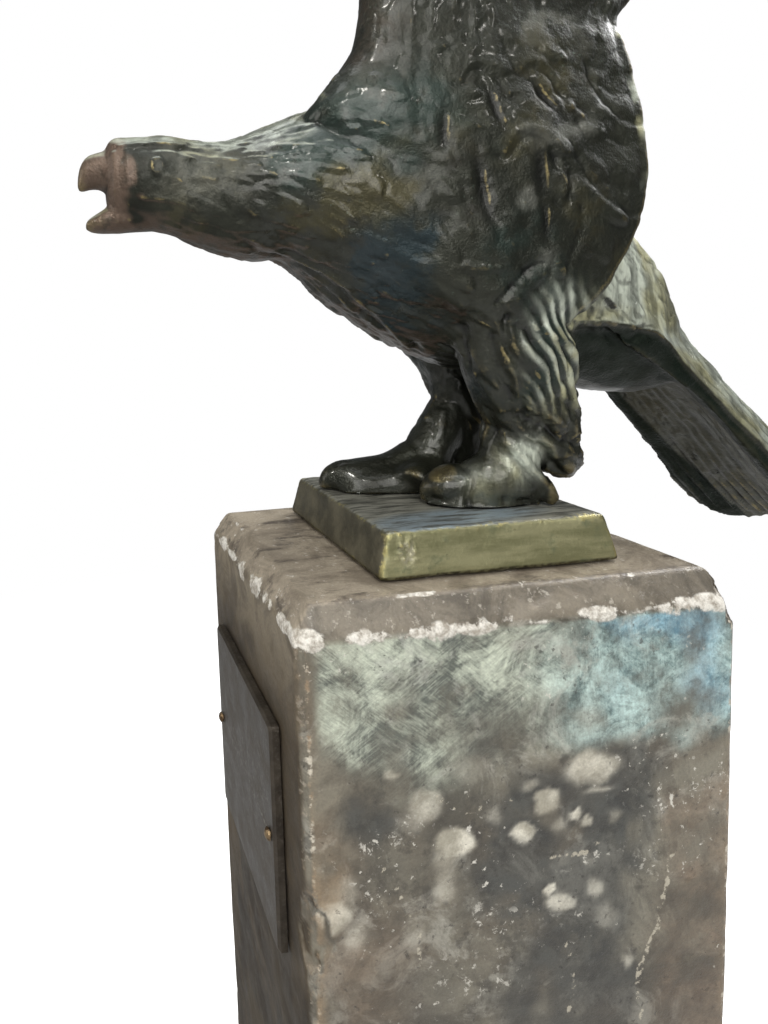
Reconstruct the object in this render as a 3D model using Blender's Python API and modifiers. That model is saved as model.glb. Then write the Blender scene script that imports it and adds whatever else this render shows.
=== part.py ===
"""A bronze bird of prey on a battered bronze plinth, bolted to a chamfered stone pillar with a name plaque.

Metres, +Z up. The origin is the centre of the felt pad's underside. The bird faces -Y and its left side is +X.
"""

import math

import bmesh
import bpy
import numpy as np
from mathutils import Vector, noise
from mathutils.bvhtree import BVHTree

MM = 0.001

# Driving dimensions, in millimetres.
GAP = 0.3                   # clearance between pieces that rest on or pass through each other
PAD_THICK = 2.0
PAD_INSET = 2.5
PILLAR_X = 80.0
PILLAR_Y = 103.0
PILLAR_H = 200.0
PILLAR_EDGE = 3.0           # bevel of the vertical edges
CHAMFER_IN = 4.6            # top chamfer, measured across
CHAMFER_DOWN = 6.0          # top chamfer, measured down
COUNTERBORE_R = 11.0
COUNTERBORE_H = 16.0
CENTRE_STUD_R = 3.0
PLAQUE_HALF = 26.9
PLAQUE_TOP = 33.8           # below the pillar's top face
PLAQUE_BOTTOM = 93.1
PLAQUE_THICK = 2.4
PIN_X = 23.6
PIN_HEAD_R = 1.6
PLINTH_BOTTOM = (59.4, 60.0)
PLINTH_TOP = (56.2, 54.4)
PLINTH_H = 11.6
PLINTH_Y = 2.4
PLINTH_FLOOR = 4.2          # depth of the recesses under the plinth
WING_TIP = 262.0            # wing tip above the pillar's top face
RELIEF = 0.8                # depth of the modelled plumage, as a share of each feather's lift
BODY_TRIS = 9800
WING_TRIS = 3400

# Levels above the origin.
PILLAR_Z = PAD_THICK + GAP
TOP_Z = PILLAR_Z + PILLAR_H
PLINTH_Z = TOP_Z + GAP
FOOT_Z = PLINTH_Z + PLINTH_H


def clear_scene():
    for obj in list(bpy.data.objects):
        bpy.data.objects.remove(obj, do_unlink=True)


def material(name, colour, metallic, roughness):
    mat = bpy.data.materials.new(name)
    mat.use_nodes = True
    shader = mat.node_tree.nodes["Principled BSDF"]
    shader.inputs["Base Color"].default_value = (*colour, 1.0)
    shader.inputs["Metallic"].default_value = metallic
    shader.inputs["Roughness"].default_value = roughness
    return mat


clear_scene()
STATUETTE = bpy.data.collections.new("bronze_statuette")
bpy.context.scene.collection.children.link(STATUETTE)
CUTTERS = bpy.data.collections.new("cutters")
bpy.context.scene.collection.children.link(CUTTERS)
CUTTERS.hide_render = True
ROOT = bpy.data.objects.new("statuette_origin", None)
STATUETTE.objects.link(ROOT)

BRONZE = material("patinated_bronze", (0.045, 0.050, 0.040), 0.85, 0.38)
BRONZE_BASE = material("plinth_bronze", (0.200, 0.185, 0.100), 0.85, 0.42)
STONE = material("mottled_stone", (0.230, 0.215, 0.185), 0.0, 0.55)
PLATE = material("plaque_metal", (0.060, 0.057, 0.052), 0.60, 0.50)
STEEL = material("steel", (0.420, 0.420, 0.410), 1.0, 0.40)
FELT = material("felt", (0.035, 0.060, 0.040), 0.0, 0.95)


def place(name, verts, faces, mat, cutter=False, smooth=False):
    """A mesh object from millimetre vertices."""
    mesh = bpy.data.meshes.new(name)
    mesh.from_pydata([Vector(v) * MM for v in verts], [], faces)
    mesh.update()
    obj = bpy.data.objects.new(name, mesh)
    obj.data.materials.append(mat)
    if cutter:
        CUTTERS.objects.link(obj)
        obj.hide_render = True
        obj.display_type = "WIRE"
        return obj
    STATUETTE.objects.link(obj)
    obj.parent = ROOT
    if smooth:
        mesh.polygons.foreach_set("use_smooth", [True] * len(mesh.polygons))
    return obj


def face_out(obj):
    """Recalculates an object's normals so that they face out."""
    bm = bmesh.new()
    bm.from_mesh(obj.data)
    bmesh.ops.recalc_face_normals(bm, faces=bm.faces)
    if bm.calc_volume(signed=True) < 0:
        bmesh.ops.reverse_faces(bm, faces=bm.faces)
    bm.to_mesh(obj.data)
    bm.free()
    return obj


def rings(loops):
    """Vertices and faces of a closed skin over loops of equal length."""
    count = len(loops[0])
    verts = [tuple(p) for loop in loops for p in loop]
    faces = [tuple(range(count - 1, -1, -1))]
    for i in range(len(loops) - 1):
        a = i * count
        b = a + count
        for j in range(count):
            k = (j + 1) % count
            faces.append((a + j, a + k, b + k, b + j))
    last = (len(loops) - 1) * count
    faces.append(tuple(range(last, last + count)))
    return verts, faces


def rounded_rectangle(half_x, half_y, z, radius, steps=3, centre=(0.0, 0.0)):
    loop = []
    for quarter, (sx, sy) in enumerate(((1, 1), (-1, 1), (-1, -1), (1, -1))):
        for k in range(steps + 1):
            angle = (quarter + k / steps) * math.pi / 2
            x = sx * (half_x - radius) + radius * math.cos(angle)
            y = sy * (half_y - radius) + radius * math.sin(angle)
            loop.append((x + centre[0], y + centre[1], z))
    return loop


def disc(radius, z, segments, centre=(0.0, 0.0)):
    turn = [2 * math.pi * k / segments for k in range(segments)]
    return [(centre[0] + radius * math.cos(a), centre[1] + radius * math.sin(a), z) for a in turn]


def turned(name, profile, mat, segments=32, centre=(0.0, 0.0), cutter=False):
    """A body of revolution about +Z from (radius, z) steps."""
    verts, faces = rings([disc(r, z, segments, centre) for r, z in profile])
    return face_out(place(name, verts, faces, mat, cutter))


def subtract(obj, cutters):
    """Cuts each cutter from obj and keeps the result as plain mesh data."""
    for cutter in cutters:
        cut = obj.modifiers.new(cutter.name, "BOOLEAN")
        cut.operation = "DIFFERENCE"
        cut.solver = "EXACT"
        cut.object = cutter
    graph = bpy.context.evaluated_depsgraph_get()
    result = bpy.data.meshes.new_from_object(obj.evaluated_get(graph), depsgraph=graph)
    obj.modifiers.clear()
    obj.data = result
    return obj


# ---------------------------------------------------------------- base: pad, pillar, plaque, plinth

def build_pad():
    hx = PILLAR_X / 2 - PAD_INSET
    hy = PILLAR_Y / 2 - PAD_INSET
    loops = [
        rounded_rectangle(hx, hy, 0.0, 3.0),
        rounded_rectangle(hx, hy, PAD_THICK, 3.0),
    ]
    verts, faces = rings(loops)
    face_out(place("felt_pad", verts, faces, FELT))


def build_pillar():
    hx = PILLAR_X / 2
    hy = PILLAR_Y / 2
    e = PILLAR_EDGE
    soft = 1.2
    loops = [
        rounded_rectangle(hx - 1.0, hy - 1.0, PILLAR_Z, e - 0.6),
        rounded_rectangle(hx, hy, PILLAR_Z + 1.0, e),
        rounded_rectangle(hx, hy, TOP_Z - CHAMFER_DOWN - soft, e),
        rounded_rectangle(hx - 0.3, hy - 0.3, TOP_Z - CHAMFER_DOWN, e),
        rounded_rectangle(hx - CHAMFER_IN + 0.6, hy - CHAMFER_IN + 0.6, TOP_Z - 0.8, e),
        rounded_rectangle(hx - CHAMFER_IN - soft, hy - CHAMFER_IN - soft, TOP_Z, e),
    ]
    verts, faces = rings(loops)
    pillar = face_out(place("stone_pillar", verts, faces, STONE))
    low = PILLAR_Z - 1.0
    bore = CENTRE_STUD_R + 0.5
    holes = [
        turned("pillar_bore", [(bore, low), (bore, TOP_Z + 1.0)], STONE, 32, cutter=True),
        turned(
            "pillar_counterbore",
            [(COUNTERBORE_R, low), (COUNTERBORE_R, PILLAR_Z + COUNTERBORE_H)],
            STONE, 40, cutter=True,
        ),
    ]
    for side in (-1, 1):
        holes.append(pin_hole(side))
    subtract(pillar, holes)


def along_y(loop):
    """Turns a loop drawn about +Z so that it lies about the -Y direction."""
    return [(x, -z, y) for x, y, z in loop]


def plaque_level():
    return TOP_Z - (PLAQUE_TOP + PLAQUE_BOTTOM) / 2


def pin_body(name, side, steps, mat, cutter=False):
    """A round body about an axis along -Y at one of the two plaque pins; steps are (radius, depth)."""
    loops = []
    for radius, depth in steps:
        loop = along_y(disc(radius, depth, 24))
        loops.append([(x + side * PIN_X, y, z + plaque_level()) for x, y, z in loop])
    verts, faces = rings(loops)
    return face_out(place(name, verts, faces, mat, cutter))


def pin_hole(side):
    wall = PILLAR_Y / 2
    name = "pillar_pin_hole_%s" % ("right" if side < 0 else "left")
    return pin_body(name, side, [(1.1, wall - 9.0), (1.1, wall + 1.0)], STONE, cutter=True)


def build_plaque():
    near = PILLAR_Y / 2 + GAP
    far = near + PLAQUE_THICK
    half_h = (PLAQUE_BOTTOM - PLAQUE_TOP) / 2
    loops = []
    for inset, depth in ((0.0, near), (0.0, far - 0.7), (0.7, far)):
        loop = rounded_rectangle(PLAQUE_HALF - inset, half_h - inset, depth, 1.0)
        loops.append([(x, y, z + plaque_level()) for x, y, z in along_y(loop)])
    verts, faces = rings(loops)
    plaque = face_out(place("plaque", verts, faces, PLATE))
    holes = []
    for side in (-1, 1):
        name = "plaque_pin_hole_%s" % ("right" if side < 0 else "left")
        steps = [(1.1, near - 1.0), (1.1, far + 1.0)]
        holes.append(pin_body(name, side, steps, PLATE, cutter=True))
    subtract(plaque, holes)
    for side, word in ((-1, "right"), (1, "left")):
        top = far + GAP
        dome = [(PIN_HEAD_R * math.cos(a), top + 1.1 * math.sin(a)) for a in (0.0, 0.4, 0.8, 1.2)]
        steps = [(0.8, PILLAR_Y / 2 - 8.0), (0.8, top)] + dome
        pin_body("plaque_pin_" + word, side, steps, PLATE)


STUD_AT = {"left": (10.0, 13.0), "right": (-11.5, -8.0)}


def build_plinth():
    cx, cy = 0.0, PLINTH_Y
    bx, by = PLINTH_BOTTOM[0] / 2, PLINTH_BOTTOM[1] / 2
    tx, ty = PLINTH_TOP[0] / 2, PLINTH_TOP[1] / 2
    loops = [
        rounded_rectangle(bx - 0.5, by - 0.5, PLINTH_Z, 1.0, 3, (cx, cy)),
        rounded_rectangle(bx, by, PLINTH_Z + 0.6, 1.2, 3, (cx, cy)),
        rounded_rectangle(tx, ty, PLINTH_Z + PLINTH_H - 0.8, 1.2, 3, (cx, cy)),
        rounded_rectangle(tx - 0.8, ty - 0.8, PLINTH_Z + PLINTH_H, 1.0, 3, (cx, cy)),
    ]
    verts, faces = rings(loops)
    plinth = face_out(place("plinth", verts, faces, BRONZE_BASE))
    low = PLINTH_Z - 1.0
    cutters = [
        turned("plinth_thread", [(2.6, low), (2.6, PLINTH_Z + 8.4)], BRONZE_BASE, 24, cutter=True),
    ]
    for word, at in STUD_AT.items():
        steps = [(5.0, low), (5.0, PLINTH_Z + PLINTH_FLOOR)]
        cutters.append(turned("plinth_recess_" + word, steps, BRONZE_BASE, 28, at, True))
        steps = [(2.0, low), (2.0, PLINTH_Z + PLINTH_H + 1.0)]
        cutters.append(turned("plinth_hole_" + word, steps, BRONZE_BASE, 20, at, True))
    subtract(plinth, cutters)


def hexagon(across, z, centre):
    radius = across / math.sqrt(3)
    return disc(radius, z, 6, centre)


def build_nut(name, across, low, high, hole, centre=(0.0, 0.0)):
    verts, faces = rings([hexagon(across, low, centre), hexagon(across, high, centre)])
    nut = face_out(place(name, verts, faces, STEEL))
    cutter = turned(name + "_hole", [(hole, low - 1.0), (hole, high + 1.0)], STEEL, 24, centre, True)
    return subtract(nut, [cutter])


def build_fixings():
    shoulder = PILLAR_Z + COUNTERBORE_H
    foot = PILLAR_Z + 3.0
    washer_low = shoulder - GAP - 1.2
    steps = [(CENTRE_STUD_R - 0.4, foot), (CENTRE_STUD_R, foot + 0.6), (CENTRE_STUD_R, TOP_Z)]
    steps += [(2.3, TOP_Z + 0.2), (2.3, PLINTH_Z + 7.6)]
    turned("centre_stud", steps, STEEL, 24)
    rim = [(9.0, washer_low), (9.0, shoulder - GAP)]
    washer = turned("washer", rim, STEEL, 32)
    hole = turned("washer_hole", [(3.4, washer_low - 1), (3.4, shoulder + 1)], STEEL, 24, cutter=True)
    subtract(washer, [hole])
    build_nut("centre_nut", 10.0, washer_low - GAP - 5.0, washer_low - GAP, CENTRE_STUD_R + GAP)
    for word, at in STUD_AT.items():
        nut_low = PLINTH_Z + PLINTH_FLOOR - GAP - 2.4
        build_nut("foot_nut_" + word, 5.5, nut_low, nut_low + 2.4, 1.5 + GAP, at)
        steps = [(1.5, nut_low - 1.0), (1.5, FOOT_Z + 3.2)]
        turned("foot_stud_" + word, steps, STEEL, 16, at)


# ---------------------------------------------------------------- cast forms

def up_by(points):
    """Points given above the pillar's top face, moved to the object's origin level."""
    return [(x, y, z + TOP_Z) for x, y, z in points]


def spine_loop(station, segments):
    """An egg-shaped section standing across the body; station is (y, z, half height, half width, slope)."""
    y, z, tall, wide, slope = station
    a = math.radians(slope)
    loop = []
    for k in range(segments):
        t = 2 * math.pi * k / segments
        up = tall * math.sin(t)
        loop.append((wide * math.cos(t), y + up * math.sin(a), z + up * math.cos(a)))
    return loop


def spine_loft(stations, segments=36):
    return rings([up_by(spine_loop(s, segments)) for s in stations])


def limb_loft(stations, segments=20):
    """A skin over level ellipses; each station is (x, y, z, half x, half y)."""
    loops = []
    for x, y, z, rx, ry in stations:
        loop = disc(1.0, z, segments)
        loops.append(up_by([(x + px * rx, y + py * ry, pz) for px, py, pz in loop]))
    return rings(loops)


def tube(stations, segments=16):
    """A round skin along a bent line; each station is (x, y, z, radius)."""
    points = [Vector(s[:3]) for s in stations]
    loops = []
    for i, point in enumerate(points):
        before = points[max(i - 1, 0)]
        after = points[min(i + 1, len(points) - 1)]
        along = (after - before).normalized()
        side = along.cross(Vector((0.13, 0.21, 1.0))).normalized()
        over = side.cross(along)
        loop = []
        for k in range(segments):
            t = 2 * math.pi * k / segments
            spot = point + (side * math.cos(t) + over * math.sin(t)) * stations[i][3]
            loop.append(tuple(spot))
        loops.append(up_by(loop))
    return rings(loops)


SPINE = [
    # along (y), level (z), half height, half width, slope of the spine in degrees
    (-83.0, 101.4, 6.6, 4.6, 0),
    (-82.2, 101.2, 9.0, 6.4, 0),
    (-80.6, 100.9, 10.6, 7.8, 0),
    (-78.0, 100.7, 11.0, 8.9, 0),
    (-74.0, 100.2, 11.5, 10.3, 0),
    (-68.0, 98.9, 12.3, 11.2, 0),
    (-61.0, 96.8, 12.9, 11.9, 2),
    (-53.0, 95.0, 14.3, 13.2, 2),
    (-45.0, 95.0, 16.2, 15.2, 2),
    (-37.0, 96.3, 17.8, 17.6, 4),
    (-29.0, 95.4, 21.7, 19.8, 8),
    (-20.0, 92.7, 25.3, 22.0, 14),
    (-8.0, 86.1, 27.2, 23.8, 20),
    (5.0, 80.1, 28.7, 24.6, 25),
    (18.0, 73.4, 28.6, 24.0, 28),
    (31.0, 68.0, 25.6, 21.8, 32),
    (43.0, 62.0, 22.2, 18.0, 38),
    (53.0, 53.7, 18.3, 13.6, 43),
    (61.0, 46.2, 12.0, 10.0, 45),
    (67.0, 40.6, 5.6, 6.0, 45),
]

BEAK_UPPER = [
    (-76.0, 102.0, 6.0, 5.6, 0),
    (-82.4, 103.2, 5.3, 5.0, 0),
    (-85.0, 103.6, 4.5, 4.3, 0),
    (-87.4, 103.2, 4.0, 3.4, 0),
    (-89.0, 102.0, 3.3, 2.4, 0),
    (-89.9, 100.6, 1.9, 1.4, 0),
    (-90.2, 99.7, 0.8, 0.7, 0),
]

BEAK_LOWER = [
    (-72.0, 92.0, 4.2, 5.6, 0),
    (-82.0, 91.3, 3.3, 4.4, 0),
    (-85.2, 90.6, 2.5, 3.6, 0),
    (-87.4, 90.2, 1.7, 2.6, 0),
    (-88.7, 90.0, 0.9, 1.5, 0),
]

THIGH_LEFT = [
    # x, y, level, half width, half depth
    (13.0, 10.0, 74.0, 8.0, 12.0),
    (15.0, 12.6, 64.0, 10.0, 15.0),
    (16.0, 15.2, 54.0, 10.3, 13.6),
    (15.6, 17.1, 44.0, 9.2, 12.1),
    (15.0, 20.8, 34.0, 7.6, 10.2),
    (15.0, 25.0, 26.5, 6.0, 7.2),
    (15.0, 27.4, 21.5, 4.4, 4.6),
    (15.0, 28.6, 18.8, 2.0, 2.1),
]

THIGH_RIGHT = [
    (-12.0, 8.0, 74.0, 8.0, 12.0),
    (-14.0, 11.0, 64.0, 10.0, 13.5),
    (-14.0, 14.0, 54.0, 9.6, 11.5),
    (-11.0, 17.0, 44.0, 8.2, 8.0),
    (-9.0, 18.6, 34.0, 7.2, 7.8),
    (-8.6, 18.2, 25.0, 6.4, 7.8),
    (-8.4, 17.6, 17.5, 5.4, 7.0),
    (-8.4, 17.4, 12.6, 3.4, 5.0),
]

LIMBS = [
    # left shank, instep, toe, outer toe and back toe: x, y, level, radius
    [(13.8, 19.0, 40.0, 6.2), (13.4, 17.4, 31.0, 6.4), (13.2, 16.2, 24.5, 6.9), (13.0, 15.8, 15.0, 7.0)],
    [(13.0, 13.0, 19.5, 6.6), (11.8, 8.8, 17.4, 5.8), (10.8, 5.2, 16.2, 5.2), (10.2, 3.4, 15.4, 4.8)],
    [(9.8, 4.8, 16.6, 5.2), (9.3, 2.6, 16.3, 5.5), (9.0, 1.0, 15.4, 5.4), (9.0, 0.4, 13.8, 5.0)],
    [(13.4, 14.0, 19.0, 6.4), (15.6, 11.4, 15.6, 5.4), (16.6, 9.4, 13.0, 4.2)],
    [(14.4, 15.0, 22.0, 5.4), (16.4, 18.8, 18.0, 4.0), (17.2, 20.8, 15.0, 3.2), (17.6, 21.8, 12.8, 2.4)],
    # right shank, front toe, inner toe, outer toe and the cast ground under them
    [
        (-9.0, 16.4, 42.0, 6.4), (-8.8, 15.2, 34.0, 6.0), (-8.4, 10.6, 27.0, 6.4),
        (-8.4, 6.6, 21.0, 6.9), (-8.0, 6.0, 14.0, 6.9),
    ],
    [(-8.8, 2.6, 19.4, 6.3), (-9.4, -4.0, 17.0, 5.2), (-10.4, -12.0, 16.2, 4.8), (-11.0, -17.6, 15.8, 4.7)],
    [(-5.8, 5.0, 17.6, 5.6), (-2.8, 1.2, 16.0, 5.2), (-0.6, -1.4, 15.4, 5.0), (0.2, -2.6, 14.6, 4.4)],
    [(-10.0, 3.4, 18.0, 4.4), (-16.0, 1.4, 15.8, 3.7), (-20.0, -0.6, 14.2, 2.8), (-21.4, -1.4, 13.0, 1.6)],
    [(-9.0, -19.4, 11.4, 4.0), (-7.8, -13.0, 12.4, 5.6), (-6.6, -5.0, 12.8, 6.2), (-5.0, 2.0, 13.6, 6.4)],
]

CLAWS = [
    [(8.8, -1.6, 16.0, 3.0), (8.6, -3.0, 14.6, 2.3), (8.6, -3.5, 12.4, 1.5)],
    [(17.4, 21.4, 15.0, 2.2), (18.0, 22.8, 13.8, 1.5), (18.2, 23.4, 12.2, 0.8)],
    [
        (-11.2, -17.6, 16.0, 4.5), (-11.6, -20.0, 15.2, 4.0), (-12.0, -21.6, 13.6, 3.3),
        (-12.0, -22.0, 12.0, 2.8),
    ],
    [(-20.6, -1.0, 14.2, 2.2), (-22.0, -1.8, 13.2, 1.4), (-22.4, -2.0, 12.0, 0.8)],
]

BROWS = [
    # brow ridge on each side of the head
    [
        (6.6, -80.2, 107.8, 0.7), (7.8, -75.0, 107.8, 0.8), (8.4, -69.0, 107.2, 0.8),
        (8.4, -62.0, 105.6, 0.5),
    ],
]

TAIL_SLOPE = 45.0
TAIL_START = (48.0, 58.0)
TAIL = [
    # along the tail, half width, edge level, crown above the edges, thickness at the edges
    (0.0, 12.0, 1.0, 17.4, 8.6),
    (10.0, 13.2, 0.8, 15.2, 7.0),
    (22.0, 14.6, 0.6, 13.2, 4.8),
    (36.0, 15.8, 0.4, 12.4, 3.6),
    (52.0, 17.0, -0.4, 12.8, 3.8),
    (68.0, 18.2, -1.4, 13.4, 4.4),
    (80.0, 18.2, -2.2, 12.8, 4.0),
    (87.0, 15.6, -1.8, 11.2, 3.2),
    (91.0, 10.6, 0.4, 7.6, 2.6),
]


def tail_loop(station, half_points=18):
    """An arched section of the tail, its crown up, with a hollow underside."""
    along, wide, edge, crown, thick = station
    a = math.radians(TAIL_SLOPE)
    top = []
    bottom = []
    for k in range(half_points + 1):
        u = 1.0 - 2.0 * k / half_points
        arch = 1.0 - abs(u) ** 1.8
        top.append((wide * u, edge + crown * arch))
        under = edge - thick + 0.55 * crown * arch
        bottom.append((wide * u * 0.985, under))
    loop = []
    for x, n in top + bottom[::-1]:
        y = TAIL_START[0] + along * math.cos(a) + n * math.sin(a)
        z = TAIL_START[1] - along * math.sin(a) + n * math.cos(a)
        loop.append((x, y, z))
    return loop


def body_masses():
    yield spine_loft(SPINE)
    yield spine_loft(BEAK_UPPER, 24)
    yield spine_loft(BEAK_LOWER, 24)
    yield limb_loft(THIGH_LEFT)
    yield limb_loft(THIGH_RIGHT)
    for stations in LIMBS + CLAWS:
        yield tube(stations)
    for side in (1, -1):
        for stations in BROWS:
            yield tube([(side * x, y, z, r) for x, y, z, r in stations], 12)
    yield rings([up_by(tail_loop(s)) for s in TAIL])


def united(name, masses, voxel, smooth):
    """One closed skin around overlapping masses, as a millimetre mesh."""
    verts = []
    faces = []
    for more_verts, more_faces in masses:
        start = len(verts)
        verts.extend(more_verts)
        faces.extend(tuple(start + i for i in face) for face in more_faces)
    mesh = bpy.data.meshes.new(name)
    mesh.from_pydata(verts, [], faces)
    obj = bpy.data.objects.new(name, mesh)
    CUTTERS.objects.link(obj)
    obj.hide_render = True
    obj.display_type = "WIRE"
    bm = bmesh.new()
    bm.from_mesh(mesh)
    bmesh.ops.recalc_face_normals(bm, faces=bm.faces)
    bm.to_mesh(mesh)
    bm.free()
    remesh = obj.modifiers.new("skin", "REMESH")
    remesh.mode = "VOXEL"
    remesh.voxel_size = voxel
    remesh.adaptivity = 0.0
    soften = obj.modifiers.new("soften", "SMOOTH")
    soften.factor = 0.5
    soften.iterations = smooth
    graph = bpy.context.evaluated_depsgraph_get()
    result = bpy.data.meshes.new_from_object(obj.evaluated_get(graph), depsgraph=graph)
    bpy.data.objects.remove(obj, do_unlink=True)
    return result


# ---------------------------------------------------------------- plumage in relief

def vertex_arrays(mesh):
    count = len(mesh.vertices)
    spots = np.empty(count * 3)
    mesh.vertices.foreach_get("co", spots)
    outward = np.empty(count * 3)
    mesh.vertex_normals.foreach_get("vector", outward)
    return spots.reshape(-1, 3), outward.reshape(-1, 3)


def raise_feathers(mesh, feathers):
    """Lifts the skin into overlapping feathers; each is (root, direction, outward, length, half width, lift)."""
    spots, outward = vertex_arrays(mesh)
    lift = np.zeros(len(spots))
    for root, along, out, length, wide, high in feathers:
        root = np.array(root)
        along = np.array(along)
        out = np.array(out)
        along = along - out * (along @ out)
        along /= np.linalg.norm(along)
        side = np.cross(out, along)
        middle = root + along * length * 0.5
        near = np.nonzero(((spots - middle) ** 2).sum(1) < (0.62 * length + wide) ** 2)[0]
        if not len(near):
            continue
        rel = spots[near] - root
        v = rel @ along / length
        u = rel @ side / wide
        depth = np.abs(rel @ out)
        tip = np.clip((v - 0.55) / 0.45, 0.0, 1.0)
        room = np.sqrt(np.clip(1.0 - tip ** 2, 0.0, 1.0)) - np.abs(u)
        edge = np.clip(room / 0.28, 0.0, 1.0)
        edge = edge * edge * (3.0 - 2.0 * edge)
        inside = (v > 0.0) & (v < 1.0) & (room > 0.0) & (depth < 0.5 * length)
        quill = 0.22 * np.exp(-(u / 0.16) ** 2)
        value = RELIEF * high * edge * (0.25 + 0.75 * v - 0.2 * u * u + quill)
        value = np.where(inside & (outward[near] @ out > 0.1), value, 0.0)
        lift[near] = np.maximum(lift[near], value)
    spots = spots + outward * lift[:, None]
    mesh.vertices.foreach_set("co", spots.reshape(-1))
    mesh.update()


def jitter(seed, scale):
    value = noise.noise(Vector((seed * 1.37, seed * 0.71 + 3.1, 9.2 - seed * 0.53)))
    return value * scale


def around_spine(tree, rows, first, last, count_at, length, wide, high):
    """Feathers in rows around the body, pointing towards the tail."""
    found = []
    ys = [s[0] for s in SPINE]
    zs = [s[1] for s in SPINE]
    slopes = [s[4] for s in SPINE]
    for row in range(rows):
        y = first + (last - first) * row / (rows - 1)
        z = float(np.interp(y, ys, zs))
        slope = math.radians(float(np.interp(y, ys, slopes)))
        count = count_at(y)
        for k in range(count):
            seed = row * 31.7 + k * 3.3
            t = 2 * math.pi * (k + 0.5 * (row % 2)) / count + jitter(seed, 0.16)
            ray = Vector((math.cos(t), math.sin(t) * math.sin(slope), math.sin(t) * math.cos(slope)))
            centre = Vector((0.0, y + jitter(seed + 5, 2.5), z + TOP_Z))
            spot, out, _, _ = tree.ray_cast(centre + ray * 60.0, -ray)
            if spot is None:
                continue
            along = Vector((jitter(seed + 9, 0.25), math.cos(slope), -math.sin(slope)))
            size = 1.0 + jitter(seed + 2, 0.5)
            found.append((spot, along, out, length * size, wide * size, high * (1 + jitter(seed + 7, 0.8))))
    return found


def down_limb(tree, stations, rows, count, length, wide, high, lean):
    """Long feathers hanging down a thigh."""
    found = []
    zs = [s[2] for s in stations][::-1]
    for row in range(rows):
        z = 60.0 + (26.0 - 60.0) * row / (rows - 1)
        x = float(np.interp(z, zs, [s[0] for s in stations][::-1]))
        y = float(np.interp(z, zs, [s[1] for s in stations][::-1]))
        for k in range(count):
            seed = row * 17.3 + k * 5.1 + x
            t = 2 * math.pi * (k + 0.5 * (row % 2)) / count + jitter(seed, 0.3)
            ray = Vector((math.cos(t), math.sin(t), 0.0))
            centre = Vector((x, y, z + TOP_Z + jitter(seed + 3, 4.0)))
            spot, out, _, _ = tree.ray_cast(centre + ray * 30.0, -ray)
            if spot is None:
                continue
            along = Vector((0.0, lean + jitter(seed + 4, 0.5), -1.0))
            found.append((spot, along, out, length, wide, high))
    return found


def along_tail(tree):
    """The tail's long feathers, above and below."""
    found = []
    a = math.radians(TAIL_SLOPE)
    down = Vector((0.0, math.cos(a), -math.sin(a)))
    over = Vector((0.0, math.sin(a), math.cos(a)))
    for side in (1, -1):
        for k in range(9):
            u = -1.0 + 2.0 * (k + 0.5) / 9
            centre = Vector((13.5 * u, TAIL_START[0], TAIL_START[1] + TOP_Z)) + down * 34.0
            spot, out, _, _ = tree.ray_cast(centre + over * side * 40.0, -over * side)
            if spot is None or out.dot(over) * side < 0.2:
                continue
            along = down + Vector((0.09 * u, 0.0, 0.0))
            found.append((spot - along * 20.0, along, out, 68.0, 2.5, 0.9 + 0.25 * (k % 2)))
    return found


def body_feathers(mesh):
    tree = BVHTree.FromPolygons(
        [v.co.copy() for v in mesh.vertices], [tuple(p.vertices) for p in mesh.polygons]
    )
    found = along_tail(tree)
    found += around_spine(tree, 7, 40.0, 18.0, lambda y: 16, 13.0, 4.2, 1.0)
    found += around_spine(tree, 9, 22.0, -26.0, lambda y: 20, 11.0, 3.6, 1.0)
    found += around_spine(tree, 13, -26.0, -74.0, lambda y: int(15 + (y + 74) * 0.12), 11.0, 2.3, 0.8)
    found += down_limb(tree, THIGH_LEFT, 6, 12, 12.0, 2.4, 0.9, 0.35)
    found += down_limb(tree, THIGH_RIGHT, 6, 12, 11.0, 2.4, 0.9, 0.30)
    return found


# ---------------------------------------------------------------- wings

WING = [
    # front edge (y, z), rear edge (y, z), x at the front edge, x at the rear edge, outward bow
    (-2.0, 62.0, 21.0, 57.0, 17.0, 22.6, 2.4),
    (-10.0, 67.0, 27.8, 60.5, 16.0, 23.6, 3.4),
    (-17.0, 74.0, 33.6, 67.0, 14.6, 24.0, 4.6),
    (-22.0, 83.0, 37.8, 75.5, 13.2, 24.0, 5.6),
    (-25.0, 93.0, 41.8, 84.0, 12.0, 23.6, 6.2),
    (-29.0, 103.0, 43.3, 93.5, 11.0, 22.8, 6.4),
    (-34.2, 111.2, 43.2, 103.0, 10.0, 21.4, 6.4),
    (-28.8, 118.0, 42.8, 112.5, 11.0, 19.8, 5.4),
    (-22.8, 125.5, 42.2, 122.0, 12.0, 18.0, 4.4),
    (-20.4, 133.0, 40.9, 129.0, 12.0, 16.5, 4.0),
    (-19.6, 141.0, 44.6, 134.0, 12.0, 16.0, 3.5),
    (-18.8, 151.0, 53.0, 144.0, 12.0, 15.0, 3.0),
    (-17.0, 165.0, 61.0, 160.0, 12.0, 14.5, 3.0),
    (-13.5, 181.0, 67.0, 180.0, 12.5, 14.5, 3.0),
    (-7.5, 199.0, 70.0, 201.0, 13.0, 15.0, 3.0),
    (0.5, 217.0, 70.0, 221.0, 14.0, 15.5, 2.5),
    (10.5, 233.0, 67.0, 239.0, 15.0, 16.5, 2.0),
    (22.0, 247.0, 61.5, 252.0, 16.0, 17.5, 1.5),
    (33.0, 256.0, 53.5, 259.0, 17.0, 18.5, 1.0),
    (41.0, 260.5, 46.5, 261.5, 18.0, 18.6, 0.5),
]
WING_SETBACK = {"left": 0.0, "right": 14.0}    # how far each raised wing stands back


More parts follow.
